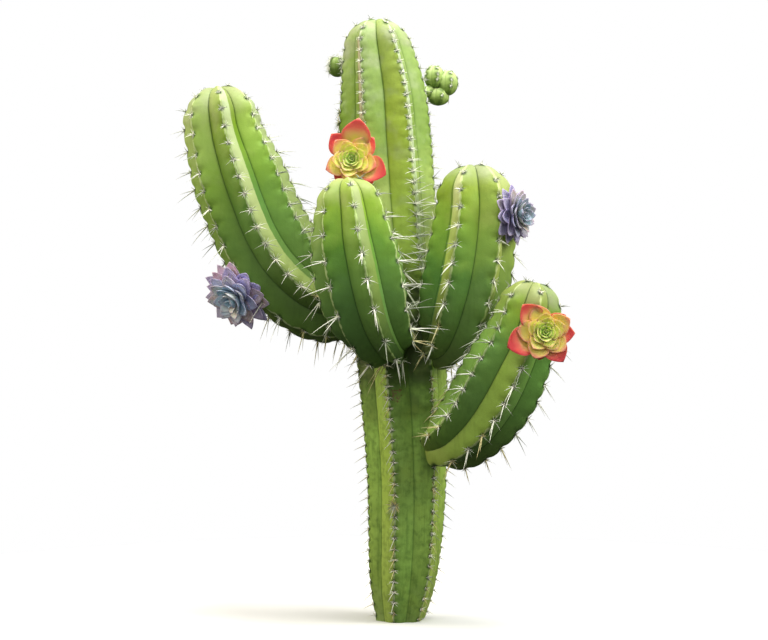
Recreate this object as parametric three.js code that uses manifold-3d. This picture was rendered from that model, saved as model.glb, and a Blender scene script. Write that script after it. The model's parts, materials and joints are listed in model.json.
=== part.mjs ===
// A branching columnar cactus: a ribbed trunk, four arms, two young buds and four succulent rosettes.
// Millimetres, +Z up. The front is -Y, and the origin is the middle of the flat cut under the trunk.

import * as THREE from "three";
import { ParametricGeometry } from "three/addons/geometries/ParametricGeometry.js";
import { mergeVertices } from "three/addons/utils/BufferGeometryUtils.js";
import Module from "manifold-3d";

const wasm = await Module();
wasm.setup();

// Driving dimensions
const plantHeight = 1404;
const seatGap = 0.45; // between a limb and what grows out of it
const bendGap = 0.35; // between the two solids of a limb that is split at its bend
const flankBulge = 0.6; // how deep the middle of a flank lies, as a share of the groove
const tipDimple = 0.07; // how far the grooves lie under the ridges at a tip, as a share of the crown
const spineRadius = 1.7; // at the root
const spineRoot = 9; // how deep the root is sunk
const spineSpread = 0.3; // how far a spine's length and way vary
const limbClearance = 5; // between a spine and another limb
const leafTip = 0.86; // where along a leaf the last ring before its point lies
const coreShare = 0.3; // a rosette's core, as a share of its radius
const stemShare = 0.15; // a rosette's stem, as a share of its radius
const leafSpread = 8; // how far a leaf's angle varies

// How finely the surfaces are cut up
const axisSteps = 240;
const pointsPerRib = 4;
const footRings = 3;
const leafRound = 4;
const leafStacks = 4;

// Colours, as sRGB
const skinGreen = 0x5f9a35;
const budGreen = 0x7a9a4e;
const rosetteRed = 0xd8a03c;
const rosetteViolet = 0x8d92b4;

// Each limb has an axis from its foot to its tip, and a girth as [share of the axis, radius over the ribs].
// ridgeAngle is where one rib stands at the tip, from the front towards +X, and twist is how far it has
// turned at the foot. grooves are depths at foot and tip, as shares of the radius. ease crowds the rings
// towards the foot, and crown and footCrown are the heights of the domes at its ends. spines are [share of
// the axis, length], and droop is how far they hang at foot and tip. A limb with a bend is two solids.
const limbs = {
  trunk: {
    flatFoot: true,
    ribs: 6,
    ridgeAngle: 29,
    twist: 16,
    axis: [
      [0, 0, 0],
      [11, 0, 160],
      [16, 0, 330],
      [6, 0, 585],
      [-20, 0, 865],
      [-34, 0, 1100],
      [-39, 0, 1220],
      [-48, 0, 1300],
      [-54, 0, 1350],
      [-56, 0, plantHeight],
    ],
    girth: [
      [0, 58],
      [0.03, 70],
      [0.06, 79],
      [0.1, 86],
      [0.17, 91.5],
      [0.24, 95.5],
      [0.38, 104],
      [0.5, 109],
      [0.62, 111],
      [0.78, 110],
      [0.83, 106],
      [0.86, 102.5],
      [0.91, 93],
      [0.93, 87],
      [0.955, 80],
      [1, 72],
    ],
    crown: 66,
    footCrown: 0,
    grooves: [0.13, 0.29],
    rings: 20,
    crownRings: 4,
    ease: 1,
    spineStep: 33,
    spines: [
      [0, 24],
      [0.3, 30],
      [0.5, 33],
      [0.62, 42],
      [0.72, 38],
      [0.8, 22],
      [1, 14],
    ],
    droop: [0.5, 0.05],
  },
  arm_left: {
    ribs: 7,
    ridgeAngle: 8,
    twist: -18,
    axis: [
      [-8, 0, 726],
      [-82, 2, 733],
      [-140, 4, 746],
      [-191, 6, 762],
      [-230, 7, 787],
      [-277, 8, 832],
      [-318, 10, 893],
      [-348, 13, 958],
      [-380, 16, 1040],
      [-410, 19, 1129],
      [-421, 21, 1185],
      [-431, 24, 1249],
    ],
    girth: [
      [0, 58],
      [0.09, 74],
      [0.14, 94],
      [0.18, 110],
      [0.25, 118],
      [0.4, 119],
      [0.6, 116],
      [0.71, 114],
      [0.84, 98],
      [0.89, 94],
      [1, 88],
    ],
    crown: 78,
    footCrown: 0,
    grooves: [0.27, 0.28],
    rings: 12,
    crownRings: 4,
    ease: 1.15,
    spineStep: 40,
    spines: [
      [0, 52],
      [0.5, 56],
      [0.7, 46],
      [0.85, 36],
      [1, 15],
    ],
    droop: [0.55, 0.05],
    bend: 0.4,
  },
  arm_front: {
    ribs: 7,
    ridgeAngle: 7,
    twist: 0,
    axis: [
      [-2, -8, 652],
      [-20, -98, 650],
      [-42, -170, 662],
      [-66, -213, 706],
      [-82, -228, 762],
      [-93, -230, 815],
      [-103, -227, 867],
      [-112, -218, 938],
      [-118, -209, 982],
      [-121, -203, 1016],
    ],
    girth: [
      [0, 42],
      [0.18, 52],
      [0.28, 72],
      [0.4, 92],
      [0.5, 102],
      [0.6, 105],
      [0.7, 102],
      [0.77, 95],
      [0.84, 86],
      [0.91, 77],
      [1, 70],
    ],
    crown: 58,
    footCrown: 0,
    grooves: [0.27, 0.28],
    rings: 11,
    crownRings: 4,
    ease: 1.1,
    spineStep: 47,
    spines: [
      [0, 52],
      [0.5, 55],
      [0.75, 42],
      [0.88, 25],
      [1, 14],
    ],
    droop: [0.5, 0.05],
  },
  arm_right: {
    ribs: 6,
    ridgeAngle: -24,
    twist: 0,
    axis: [
      [8, -3, 640],
      [68, -42, 636],
      [104, -78, 652],
      [123, -103, 690],
      [137, -115, 735],
      [149, -119, 783],
      [164, -119, 874],
      [170, -115, 948],
      [169, -111, 985],
      [166, -107, 1056],
    ],
    girth: [
      [0, 42],
      [0.13, 50],
      [0.2, 64],
      [0.27, 78],
      [0.36, 94],
      [0.48, 102],
      [0.6, 102],
      [0.75, 96],
      [0.85, 90],
      [1, 81],
    ],
    crown: 74,
    footCrown: 0,
    grooves: [0.27, 0.28],
    rings: 12,
    crownRings: 4,
    ease: 1.1,
    spineStep: 41.5,
    spines: [
      [0, 46],
      [0.5, 45],
      [0.75, 38],
      [0.9, 24],
      [1, 14],
    ],
    droop: [0.5, 0.05],
  },
  arm_low: {
    ribs: 6,
    ridgeAngle: 13.5,
    twist: 0,
    axis: [
      [70, -70, 416],
      [101, -110, 422],
      [127, -136, 434],
      [154, -157, 459],
      [181, -175, 492],
      [209, -192, 537],
      [237, -207, 592],
      [264, -217, 652],
      [284, -222, 721],
      [299, -223, 787],
    ],
    girth: [
      [0, 62],
      [0.14, 76],
      [0.24, 86],
      [0.35, 94],
      [0.46, 99],
      [0.58, 97],
      [0.7, 87],
      [0.84, 76],
      [1, 68],
    ],
    crown: 62,
    footCrown: 66,
    grooves: [0.24, 0.28],
    rings: 11,
    crownRings: 4,
    ease: 1,
    spineStep: 37,
    spines: [
      [0, 42],
      [0.3, 46],
      [0.6, 50],
      [0.8, 44],
      [0.92, 26],
      [1, 15],
    ],
    droop: [0.35, 0.05],
    bend: 0.34,
  },
};

// Buds are short limbs with no spines of their own. Each node joins a stalk and one or more round lobes.
const buds = {
  bud_right: [
    {
      axis: [
        [36, 22, 1234],
        [58, 31, 1235],
        [78, 40, 1243],
      ],
      girth: [
        [0, 13],
        [1, 15],
      ],
      crown: 13,
      footCrown: 0,
    },
    {
      axis: [
        [79, 40, 1244],
        [80, 41, 1272],
        [81, 41, 1300],
      ],
      girth: [
        [0, 25],
        [1, 25],
      ],
      crown: 27,
      footCrown: 27,
    },
    {
      axis: [
        [110, 45, 1228],
        [112, 46, 1258],
        [113, 47, 1289],
      ],
      girth: [
        [0, 26],
        [1, 25],
      ],
      crown: 30,
      footCrown: 30,
    },
    {
      axis: [
        [88, 42, 1205],
        [90, 44, 1226],
        [92, 46, 1248],
      ],
      girth: [
        [0, 27],
        [1, 26],
      ],
      crown: 20,
      footCrown: 20,
    },
  ],
  bud_left: [
    {
      axis: [
        [-86, 20, 1284],
        [-112, 30, 1286],
        [-140, 40, 1291],
      ],
      girth: [
        [0, 11],
        [1, 13],
      ],
      crown: 11,
      footCrown: 0,
    },
    {
      axis: [
        [-146, 42, 1272],
        [-147, 43, 1296],
        [-146, 45, 1320],
      ],
      girth: [
        [0, 25],
        [1, 25],
      ],
      crown: 23,
      footCrown: 23,
    },
  ],
};
const budShape = {
  ribs: 5,
  ridgeAngle: 20,
  twist: 0,
  grooves: [0.14, 0.17],
  rings: 1,
  crownRings: 3,
  ease: 1,
};

// Each rosette is a set of leaves round a core, on a short stem that meets the limb named in on. outer are
// the lowest leaves as [angle from the plant's right, reach]. whorls are the rest, each as [leaves, length
// and lift as shares of the radius, tilt]. width, thick, cup and outline are shares of a leaf's length.
const redLook = {
  outerTilt: 10,
  whorls: [
    [5, 0.84, 0.03, 15],
    [4, 0.56, 0.1, 36],
  ],
  width: 0.72,
  thick: 0.1,
  cup: 0.1,
  outline: [
    [0, 0.36],
    [0.25, 0.6],
    [0.48, 0.92],
    [0.6, 1],
    [0.74, 0.86],
    [0.86, 0.55],
    [0.94, 0.26],
    [1, 0],
  ],
  colour: rosetteRed,
};
const violetLook = {
  outerTilt: 0,
  whorls: [
    [7, 0.91, 0.09, 20],
    [4, 0.68, 0.22, 48],
  ],
  width: 0.58,
  thick: 0.13,
  cup: 0.13,
  outline: [
    [0, 0.45],
    [0.25, 0.75],
    [0.47, 1],
    [0.64, 0.93],
    [0.8, 0.66],
    [0.92, 0.3],
    [1, 0],
  ],
  colour: rosetteViolet,
};
const evenLeaves = (count, reach) => {
  return Array.from({ length: count }, (_, i) => [10 + (360 / count) * i, reach]);
};
const rosettes = {
  rosette_red_upper: {
    ...redLook,
    on: "trunk",
    heart: [-107, -113, 1060],
    facing: [-0.14, -0.96, 0.16],
    radius: 78,
    outer: [
      [81, 92],
      [131, 78],
      [36, 68],
      [334, 88],
      [306, 74],
      [232, 62],
    ],
    turn: 45,
  },
  rosette_red_lower: {
    ...redLook,
    on: "arm_low",
    heart: [304, -307, 675],
    facing: [0.12, -0.98, 0.1],
    radius: 78,
    outer: [
      [118, 77],
      [204, 97],
      [358, 69],
      [300, 75],
      [257, 67],
      [40, 63],
      [78, 54],
    ],
    turn: 34,
  },
  rosette_violet_left: {
    ...violetLook,
    on: "arm_left",
    heart: [-368, -24, 764],
    facing: [-0.52, -0.7, -0.49],
    radius: 88,
    outer: evenLeaves(8, 90),
    turn: 0,
  },
  rosette_violet_right: {
    ...violetLook,
    on: "arm_right",
    heart: [246, -162, 934],
    facing: [0.82, -0.57, 0.03],
    radius: 66,
    outer: evenLeaves(8, 70),
    turn: 40,
  },
};

const frontWay = new THREE.Vector3(0, -1, 0);

// A repeatable random number from 0 to 1 for each seed
function seeded(seed) {
  const wave = Math.sin(seed * 12.9898 + 4.1414) * 43758.5453;
  return wave - Math.floor(wave);
}

// A smooth curve through the rows [share, value] of a table, read at one share
function smoothTable(table, share) {
  const last = table.length - 1;
  let i = 0;
  while (i < last - 1 && share > table[i + 1][0]) i += 1;
  const slope = (k) => {
    const a = table[Math.max(k - 1, 0)];
    const b = table[Math.min(k + 1, last)];
    return (b[1] - a[1]) / (b[0] - a[0]);
  };
  const width = table[i + 1][0] - table[i][0];
  const t = (share - table[i][0]) / width;
  return (
    table[i][1] * (2 * t ** 3 - 3 * t ** 2 + 1) +
    slope(i) * width * (t ** 3 - 2 * t ** 2 + t) +
    table[i + 1][1] * (3 * t ** 2 - 2 * t ** 3) +
    slope(i + 1) * width * (t ** 3 - t ** 2)
  );
}

// The limb's axis with a frame at each step: along it, to the front of it, and to its side. The frames
// are carried from the tip, where the front is the plant's own front, down to the foot.
function surveyed(limb) {
  const points = limb.axis.map((p) => new THREE.Vector3(...p));
  const curve = new THREE.CatmullRomCurve3(points, false, "centripetal");
  curve.arcLengthDivisions = axisSteps * 4;
  const frames = [];
  let front = frontWay.clone();
  for (let i = axisSteps; i >= 0; i -= 1) {
    const share = i / axisSteps;
    const along = curve.getTangentAt(share);
    if (limb.flatFoot && i === 0) along.set(0, 0, 1);
    front = front.clone().addScaledVector(along, -front.dot(along)).normalize();
    const side = new THREE.Vector3().crossVectors(front, along).negate();
    frames[i] = { at: curve.getPointAt(share), along, front, side };
  }
  return { ...limb, frames, length: curve.getLength() };
}

function frameAt(limb, share) {
  return limb.frames[Math.round(THREE.MathUtils.clamp(share, 0, 1) * axisSteps)];
}

// Rings from the middle of the foot to the tip. Where an end is a dome, its rings are drawn in.
function ringsOf(limb) {
  const heel = limb.footCrown / limb.length;
  const shoulder = 1 - limb.crown / limb.length;
  const rings = [{ share: 0, draw: 0, lift: 0 }];
  for (let i = 1; heel > 0 && i < footRings; i += 1) {
    const angle = (Math.PI / 2) * (i / footRings);
    rings.push({ share: heel * (1 - Math.cos(angle)), draw: Math.sin(angle), lift: 0 });
  }
  for (let i = 0; i <= limb.rings; i += 1) {
    rings.push({ share: heel + (shoulder - heel) * (i / limb.rings) ** limb.ease, draw: 1, lift: 0 });
  }
  for (let i = 1; i <= limb.crownRings; i += 1) {
    const lift = (Math.PI / 2) * (i / limb.crownRings);
    const share = shoulder + (1 - shoulder) * Math.sin(lift);
    rings.push({ share, draw: Math.cos(lift), lift });
  }
  return rings;
}

// A point of the limb's skin. turn is in ribs, so a whole number is a ridge and a half is a groove.
function skinPoint(limb, ring, turn, grow = 0) {
  const toGroove = Math.abs(turn - Math.round(turn)) * 2;
  const depthHere = THREE.MathUtils.lerp(...limb.grooves, ring.share);
  const nearGroove = Math.max(toGroove * 2 - 1, 0);
  const sunk = Math.min(toGroove * 2, 1) * flankBulge + nearGroove * (1 - flankBulge);
  const radius = (smoothTable(limb.girth, ring.share) + grow) * ring.draw * (1 - depthHere * sunk);
  const dimple = ring.draw > 1e-6 ? toGroove : 1;
  const drop = tipDimple * limb.crown * Math.sin(ring.lift) ** 4 * dimple;
  const degrees = limb.ridgeAngle + limb.twist * (1 - ring.share) + (360 / limb.ribs) * turn;
  const angle = THREE.MathUtils.degToRad(degrees);
  const frame = frameAt(limb, ring.share);
  return frame.at
    .clone()
    .addScaledVector(frame.front, radius * Math.cos(angle))
    .addScaledVector(frame.side, radius * Math.sin(angle))
    .addScaledVector(frame.along, grow * Math.sin(ring.lift) - drop);
}

// A closed surface from a function of two shares, with its seam and poles merged
function closedSurface(place, around, stacks) {
  const shape = new ParametricGeometry(
    (u, v, target) => target.copy(place(Math.round(u * around), Math.round(v * stacks))),
    around,
    stacks,
  );
  shape.deleteAttribute("normal");
  shape.deleteAttribute("uv");
  return mergeVertices(shape, 1e-3);
}

// A manifold solid from a closed geometry, turned the right way out
function solidFrom(shape) {
  const vertProperties = new Float32Array(shape.getAttribute("position").array);
  const triVerts = new Uint32Array(shape.index.array);
  const make = () => new wasm.Manifold(new wasm.Mesh({ numProp: 3, vertProperties, triVerts }));
  const solid = make();
  if (solid.volume() > 0) return solid;
  for (let i = 0; i < triVerts.length; i += 3) {
    [triVerts[i + 1], triVerts[i + 2]] = [triVerts[i + 2], triVerts[i + 1]];
  }
  return make();
}

function limbSolid(limb, grow = 0) {
  const rings = ringsOf(limb);
  const around = limb.ribs * pointsPerRib;
  const place = (i, k) => skinPoint(limb, rings[k], (i % around) / pointsPerRib, grow);
  return solidFrom(closedSurface(place, around, rings.length - 1));
}

// How far a point lies outside a limb, taken as a chain of balls
function outsideBy(limb, point) {
  let best = Infinity;
  for (let i = 0; i <= axisSteps; i += 6) {
    const share = i / axisSteps;
    const left = (1 - share) * limb.length;
    const drawn = left < limb.crown ? Math.sqrt(1 - (1 - left / limb.crown) ** 2) : 1;
    const radius = smoothTable(limb.girth, share) * drawn;
    best = Math.min(best, limb.frames[i].at.distanceTo(point) - radius);
  }
  return best;
}

// Where the areoles sit on the ridges, with the way out of each
function areolesOf(limb) {
  const found = [];
  const shoulder = 1 - limb.crown / limb.length;
  const count = Math.floor(limb.length / limb.spineStep);
  for (let rib = 0; rib < limb.ribs; rib += 1) {
    for (let i = 0; i < count; i += 1) {
      const share = (i + 0.35 + 0.5 * (rib % 2)) / count;
      if (share < limb.footCrown / limb.length) continue;
      const up = share > shoulder ? Math.asin((share - shoulder) / (1 - shoulder)) : 0;
      const ring = { share, draw: Math.cos(up), lift: up };
      const at = skinPoint(limb, ring, rib);
      const frame = frameAt(limb, share);
      const out = at.clone().sub(frame.at);
      out.addScaledVector(frame.along, -out.dot(frame.along)).normalize();
      out.multiplyScalar(Math.cos(up)).addScaledVector(frame.along, Math.sin(up));
      found.push({ at, out, share, seed: rib * 97 + i });
    }
  }
  return found;
}

// One long spine for each areole, left out where it would meet another limb, its spines or a rosette
const placed = [];
const spineBase = new THREE.ConeGeometry(spineRadius, 1, 3, 1);
spineBase.translate(0, 0.5, 0);
spineBase.rotateX(Math.PI / 2);
function spinesOf(name, limb, from = 0, to = 1) {
  const others = Object.keys(limbs).filter((other) => other !== name);
  const spines = [];
  for (const { at, out, share, seed } of areolesOf(limb)) {
    if (share < from || share > to) continue;
    const way = out.clone();
    way.z -= THREE.MathUtils.lerp(...limb.droop, share);
    way.x += (seeded(seed) - 0.5) * spineSpread;
    way.y += (seeded(seed + 31) - 0.5) * spineSpread;
    way.normalize();
    const reach = smoothTable(limb.spines, share) * (0.85 + spineSpread * seeded(seed + 67));
    const tests = [0.1, 0.25, 0.4, 0.55, 0.7, 0.85, 1].map((part) => {
      return at.clone().addScaledVector(way, reach * part);
    });
    const meetsLimb = others.some((other) => {
      return tests.some((p) => outsideBy(surveys[other], p) < limbClearance);
    });
    const meetsRosette = Object.values(rosettes).some((r) => {
      const heart = new THREE.Vector3(...r.heart);
      return tests.some((p) => p.distanceTo(heart) < r.radius + limbClearance);
    });
    const meetsSpine = placed.some((other) => {
      return other.name !== name && tests.some((p) => p.distanceTo(other.at) < limbClearance * 1.6);
    });
    const meetsBud = tests.some((p) => budBalls.some((ball) => p.distanceTo(ball.at) < ball.radius));
    if (meetsLimb || meetsRosette || meetsSpine || meetsBud || tests[6].z < 3) continue;
    placed.push(...tests.map((p) => ({ name, at: p })));
    const turned = new THREE.Quaternion().setFromUnitVectors(new THREE.Vector3(0, 0, 1), way);
    const shape = spineBase.clone();
    shape.scale(1, 1, reach + spineRoot);
    shape.applyQuaternion(turned);
    shape.translate(...at.clone().addScaledVector(way, -spineRoot).toArray());
    shape.deleteAttribute("normal");
    shape.deleteAttribute("uv");
    spines.push(solidFrom(mergeVertices(shape, 1e-3)));
  }
  return spines;
}

// One leaf along +X: widest past its middle, pointed, cupped across and curling up to its tip
function leafSolid(length, look) {
  const halfWidth = (length * look.width) / 2;
  const halfThick = (length * look.thick) / 2;
  const place = (i, k) => {
    const v = k === leafStacks ? 1 : (leafTip * k) / (leafStacks - 1);
    const full = k === 0 || k === leafStacks ? 0 : smoothTable(look.outline, v);
    const angle = (2 * Math.PI * (i % leafRound)) / leafRound;
    const across = full * Math.cos(angle);
    const lift = look.cup * length * (v ** 2 + across ** 2 - 0.3 * v);
    const z = halfThick * full ** 0.5 * Math.sin(angle) + lift;
    return new THREE.Vector3(length * v, halfWidth * across, z);
  };
  return solidFrom(closedSurface(place, leafRound, leafStacks));
}

// The leaves with their heart at the origin, facing +Z, on a stem that runs back from it
function rosetteSolid(look) {
  const core = new THREE.SphereGeometry(look.radius * coreShare, 7, 5);
  const stemRadius = look.radius * stemShare;
  const stem = new THREE.CylinderGeometry(stemRadius, stemRadius, look.radius, 7);
  stem.rotateX(Math.PI / 2);
  stem.translate(0, 0, -look.radius / 2);
  const pieces = [core, stem].map((shape) => {
    shape.deleteAttribute("normal");
    shape.deleteAttribute("uv");
    return solidFrom(mergeVertices(shape, 1e-3));
  });
  const leaves = look.outer.map(([angle, length]) => ({ angle, length, tilt: look.outerTilt, lift: 0 }));
  let turn = look.turn;
  look.whorls.forEach(([count, share, lift, tilt], level) => {
    for (let i = 0; i < count; i += 1) {
      const angle = turn + (360 * i) / count + leafSpread * seeded((level + 1) * 31 + i);
      leaves.push({ angle, length: look.radius * share, tilt, lift: look.radius * lift });
    }
    turn += 180 / count + 21;
  });
  leaves.forEach((leaf, i) => {
    const length = leaf.length * (0.96 + 0.08 * seeded(i + look.turn));
    pieces.push(
      leafSolid(length, look)
        .rotate([0, -leaf.tilt - 8 * (seeded(i + 5) - 0.5), 0])
        .translate([0, 0, leaf.lift])
        .rotate([0, 0, leaf.angle]),
    );
  });
  const facing = new THREE.Vector3(...look.facing).normalize();
  const turned = new THREE.Quaternion().setFromUnitVectors(new THREE.Vector3(0, 0, 1), facing);
  const place = new THREE.Matrix4().makeRotationFromQuaternion(turned).setPosition(...look.heart);
  return wasm.Manifold.union(pieces).transform(place.elements);
}

// The largest of a solid's bodies, so that a cut leaves no loose scrap
function largest(solid) {
  return solid.decompose().reduce((a, b) => (b.volume() > a.volume() ? b : a));
}

function meshFrom(name, solid, colour, roughness) {
  const mesh = solid.getMesh();
  const shape = new THREE.BufferGeometry();
  shape.setAttribute("position", new THREE.BufferAttribute(mesh.vertProperties, 3));
  shape.setIndex(new THREE.BufferAttribute(mesh.triVerts, 1));
  shape.computeVertexNormals();
  const skin = new THREE.MeshStandardMaterial({ color: colour, roughness, metalness: 0 });
  const made = new THREE.Mesh(shape, skin);
  made.name = name;
  return made;
}

const surveys = Object.fromEntries(Object.entries(limbs).map(([name, limb]) => [name, surveyed(limb)]));
const budBalls = Object.values(buds)
  .flat()
  .map((bud) => ({
    at: new THREE.Vector3(...bud.axis[bud.axis.length - 2]),
    radius: bud.girth[bud.girth.length - 1][1] * 1.4,
  }));

// A limb's two solids, parted by a plane across its axis midway between two rows of areoles
function partedAtBend(name, limb, bare) {
  const count = Math.floor(limb.length / limb.spineStep);
  const share = (Math.round(limb.bend * count) + 0.1) / count;
  const { at, along } = frameAt(limb, share);
  const level = at.dot(along);
  const upper = bare.trimByPlane(along.toArray(), level + bendGap / 2);
  const base = bare.trimByPlane(along.clone().negate().toArray(), -level + bendGap / 2);
  return [
    [`${name}_base`, base, spinesOf(name, limb, 0, share)],
    [`${name}_upper`, upper, spinesOf(name, limb, share, 1)],
  ];
}

const cactus = new THREE.Group();
const trunkSpace = limbSolid(surveys.trunk, seatGap);
for (const [name, limb] of Object.entries(surveys)) {
  const bare = name === "trunk" ? limbSolid(limb) : largest(limbSolid(limb).subtract(trunkSpace));
  const solids = limb.bend ? partedAtBend(name, limb, bare) : [[name, bare, spinesOf(name, limb)]];
  for (const [label, solid, spines] of solids) {
    const spined = wasm.Manifold.union([solid, ...spines]);
    cactus.add(meshFrom(label, largest(spined), skinGreen, 0.55));
  }
}
for (const [name, parts] of Object.entries(buds)) {
  const joined = wasm.Manifold.union(
    parts.map((bud) => limbSolid(surveyed({ ...budShape, ...bud }))),
  );
  cactus.add(meshFrom(name, largest(joined.subtract(trunkSpace)), budGreen, 0.6));
}
for (const [name, look] of Object.entries(rosettes)) {
  const seat = limbSolid(surveys[look.on], seatGap);
  cactus.add(meshFrom(name, largest(rosetteSolid(look).subtract(seat)), look.colour, 0.6));
}

export default cactus;
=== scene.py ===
import json
import math
import bmesh
import bpy
import numpy as np
from mathutils import Matrix, Vector, noise

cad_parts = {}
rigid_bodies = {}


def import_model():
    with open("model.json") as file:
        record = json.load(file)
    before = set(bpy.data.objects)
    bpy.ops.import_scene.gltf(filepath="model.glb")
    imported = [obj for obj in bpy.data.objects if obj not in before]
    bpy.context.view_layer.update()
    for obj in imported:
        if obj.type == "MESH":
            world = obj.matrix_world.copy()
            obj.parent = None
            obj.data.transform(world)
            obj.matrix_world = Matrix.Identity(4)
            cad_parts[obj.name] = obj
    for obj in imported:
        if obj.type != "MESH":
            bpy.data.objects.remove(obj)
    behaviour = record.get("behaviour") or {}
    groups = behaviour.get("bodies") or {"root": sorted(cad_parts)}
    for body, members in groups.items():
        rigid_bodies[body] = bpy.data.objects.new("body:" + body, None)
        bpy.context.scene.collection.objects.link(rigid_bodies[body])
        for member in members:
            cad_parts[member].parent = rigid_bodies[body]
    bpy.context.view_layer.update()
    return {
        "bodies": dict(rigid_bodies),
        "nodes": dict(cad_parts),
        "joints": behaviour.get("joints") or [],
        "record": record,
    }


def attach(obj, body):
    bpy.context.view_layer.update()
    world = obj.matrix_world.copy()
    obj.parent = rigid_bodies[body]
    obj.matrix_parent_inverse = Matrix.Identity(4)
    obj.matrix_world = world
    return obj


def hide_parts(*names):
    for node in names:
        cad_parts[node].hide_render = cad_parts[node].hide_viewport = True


# A branching columnar cactus with spines, young buds and succulent rosettes.
# Sizes are in mm until a mesh is made, and the front of the plant is -Y.
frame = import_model()
mm = 0.001


stageLook = {
    "cameraAt": (-37.4, -4500, 699),  # level with the middle of the plant
    "lens": 90.3,
    "seesAsFarAs": 60000,
    "lampsAimAt": (0, -60, 720),
    "floorRadius": 1700,
    "floorDrop": 0.3,
    "floorGrain": 333.33,
    "floorTints": [(0.3, 0xF6F5F2), (0.7, 0xFBFAF8)],
    "backdrop": 0xFFFFFF,
    "ambient": [(0.35, 0.06), (0.5, 0.2), (0.75, 0.5), (1.0, 0.75)],  # from straight down to straight up
    "lights": {  # place, size, watts, colour
        "sideRight": ((2100, -700, 1900), 1300, 42, 0xFFFEF6),
        "sideLeft": ((-2300, 200, 1500), 1200, 30, 0xFFF2D2),
        "above": ((150, -500, 3300), 1500, 95, 0xFFFFFF),
        "front": ((-300, -3300, 1700), 1800, 14, 0xFFFFFF),
    },
}


def toLinear(colour):
    parts = [((colour >> shift) & 255) / 255 for shift in (16, 8, 0)]
    return (*[p / 12.92 if p <= 0.04045 else ((p + 0.055) / 1.055) ** 2.4 for p in parts], 1.0)


# Adds a node. Values go by the socket's name or number, and are plain or the output of another node
def addNode(tree, kind, values=None, stops=None, **settings):
    node = tree.nodes.new(kind)
    for name, value in settings.items():
        setattr(node, name, value)
    for name, value in (values or {}).items():
        if isinstance(value, bpy.types.NodeSocket):
            tree.links.new(value, node.inputs[name])
        else:
            node.inputs[name].default_value = value
    if stops:
        ramp = node.color_ramp
        while len(ramp.elements) < len(stops):
            ramp.elements.new(0.5)
        for element, (place, colour) in zip(ramp.elements, stops):
            element.position = place
            element.color = toLinear(colour)
    return node


def newFinish(name):
    finish = bpy.data.materials.new(name)
    finish.use_nodes = True
    tree = finish.node_tree
    return finish, tree, tree.nodes["Principled BSDF"]


def setStage(look):
    scene = bpy.context.scene
    scene.view_settings.view_transform = "Standard"
    data = bpy.data.cameras.new("camera")
    data.lens = look["lens"]
    data.clip_end = look["seesAsFarAs"] * mm
    camera = bpy.data.objects.new("camera", data)
    camera.location = Vector(look["cameraAt"]) * mm
    camera.rotation_euler = (math.pi / 2, 0, 0)
    scene.collection.objects.link(camera)
    scene.camera = camera
    for name, (place, size, watts, colour) in look["lights"].items():
        lamp = bpy.data.lights.new(name, "AREA")
        lamp.size = size * mm
        lamp.energy = watts
        lamp.color = toLinear(colour)[:3]
        holder = bpy.data.objects.new(name, lamp)
        holder.location = Vector(place) * mm
        aim = Vector(look["lampsAimAt"]) * mm - holder.location
        holder.rotation_euler = aim.to_track_quat("-Z", "Y").to_euler()
        scene.collection.objects.link(holder)
    world = bpy.data.worlds.new("studio")
    scene.world = world
    world.use_nodes = True
    tree = world.node_tree
    seen = addNode(tree, "ShaderNodeLightPath")
    sky = addNode(tree, "ShaderNodeTexCoord")
    height = addNode(tree, "ShaderNodeSeparateXYZ", {0: sky.outputs["Generated"]})
    height = addNode(tree, "ShaderNodeMapRange", {0: height.outputs["Z"], 1: -1.0, 2: 1.0})
    grey = [(place, 0) for place, _ in look["ambient"]]
    bright = addNode(tree, "ShaderNodeValToRGB", {0: height.outputs[0]}, stops=grey)
    for element, (place, value) in zip(bright.color_ramp.elements, look["ambient"]):
        element.color = (value, value, value, 1)
    white = toLinear(look["backdrop"])
    glow = addNode(tree, "ShaderNodeBackground", {"Color": white, "Strength": bright.outputs[0]})
    plain = tree.nodes["Background"]
    plain.inputs["Color"].default_value = white
    isSeen = seen.outputs["Is Camera Ray"]
    pick = addNode(tree, "ShaderNodeMixShader", {0: isSeen, 1: glow.outputs[0], 2: plain.outputs[0]})
    tree.links.new(pick.outputs[0], tree.nodes["World Output"].inputs["Surface"])


def makeFloor(look):
    bm = bmesh.new()
    bmesh.ops.create_circle(bm, cap_ends=True, segments=96, radius=look["floorRadius"] * mm)
    bmesh.ops.translate(bm, verts=bm.verts, vec=(0, 0, -look["floorDrop"] * mm))
    mesh = bpy.data.meshes.new("floor")
    bm.to_mesh(mesh)
    bm.free()
    floor = bpy.data.objects.new("floor", mesh)
    bpy.context.scene.collection.objects.link(floor)
    finish, tree, shader = newFinish("pale matt floor")  # rolled paint, no gloss
    place = addNode(tree, "ShaderNodeTexCoord")
    grain = addNode(tree, "ShaderNodeTexNoise",
                    {"Vector": place.outputs["Object"], "Scale": 1000 / look["floorGrain"]})
    tone = addNode(tree, "ShaderNodeValToRGB", {0: grain.outputs[0]}, stops=look["floorTints"])
    tree.links.new(tone.outputs[0], shader.inputs["Base Color"])
    shader.inputs["Roughness"].default_value = 0.9
    shader.inputs["Specular IOR Level"].default_value = 0.1
    floor.data.materials.append(finish)
    floor.visible_diffuse = False  # so that the plant's undersides stay in shade
    floor.visible_glossy = False


setStage(stageLook)
makeFloor(stageLook)
print("stage set")


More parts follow.
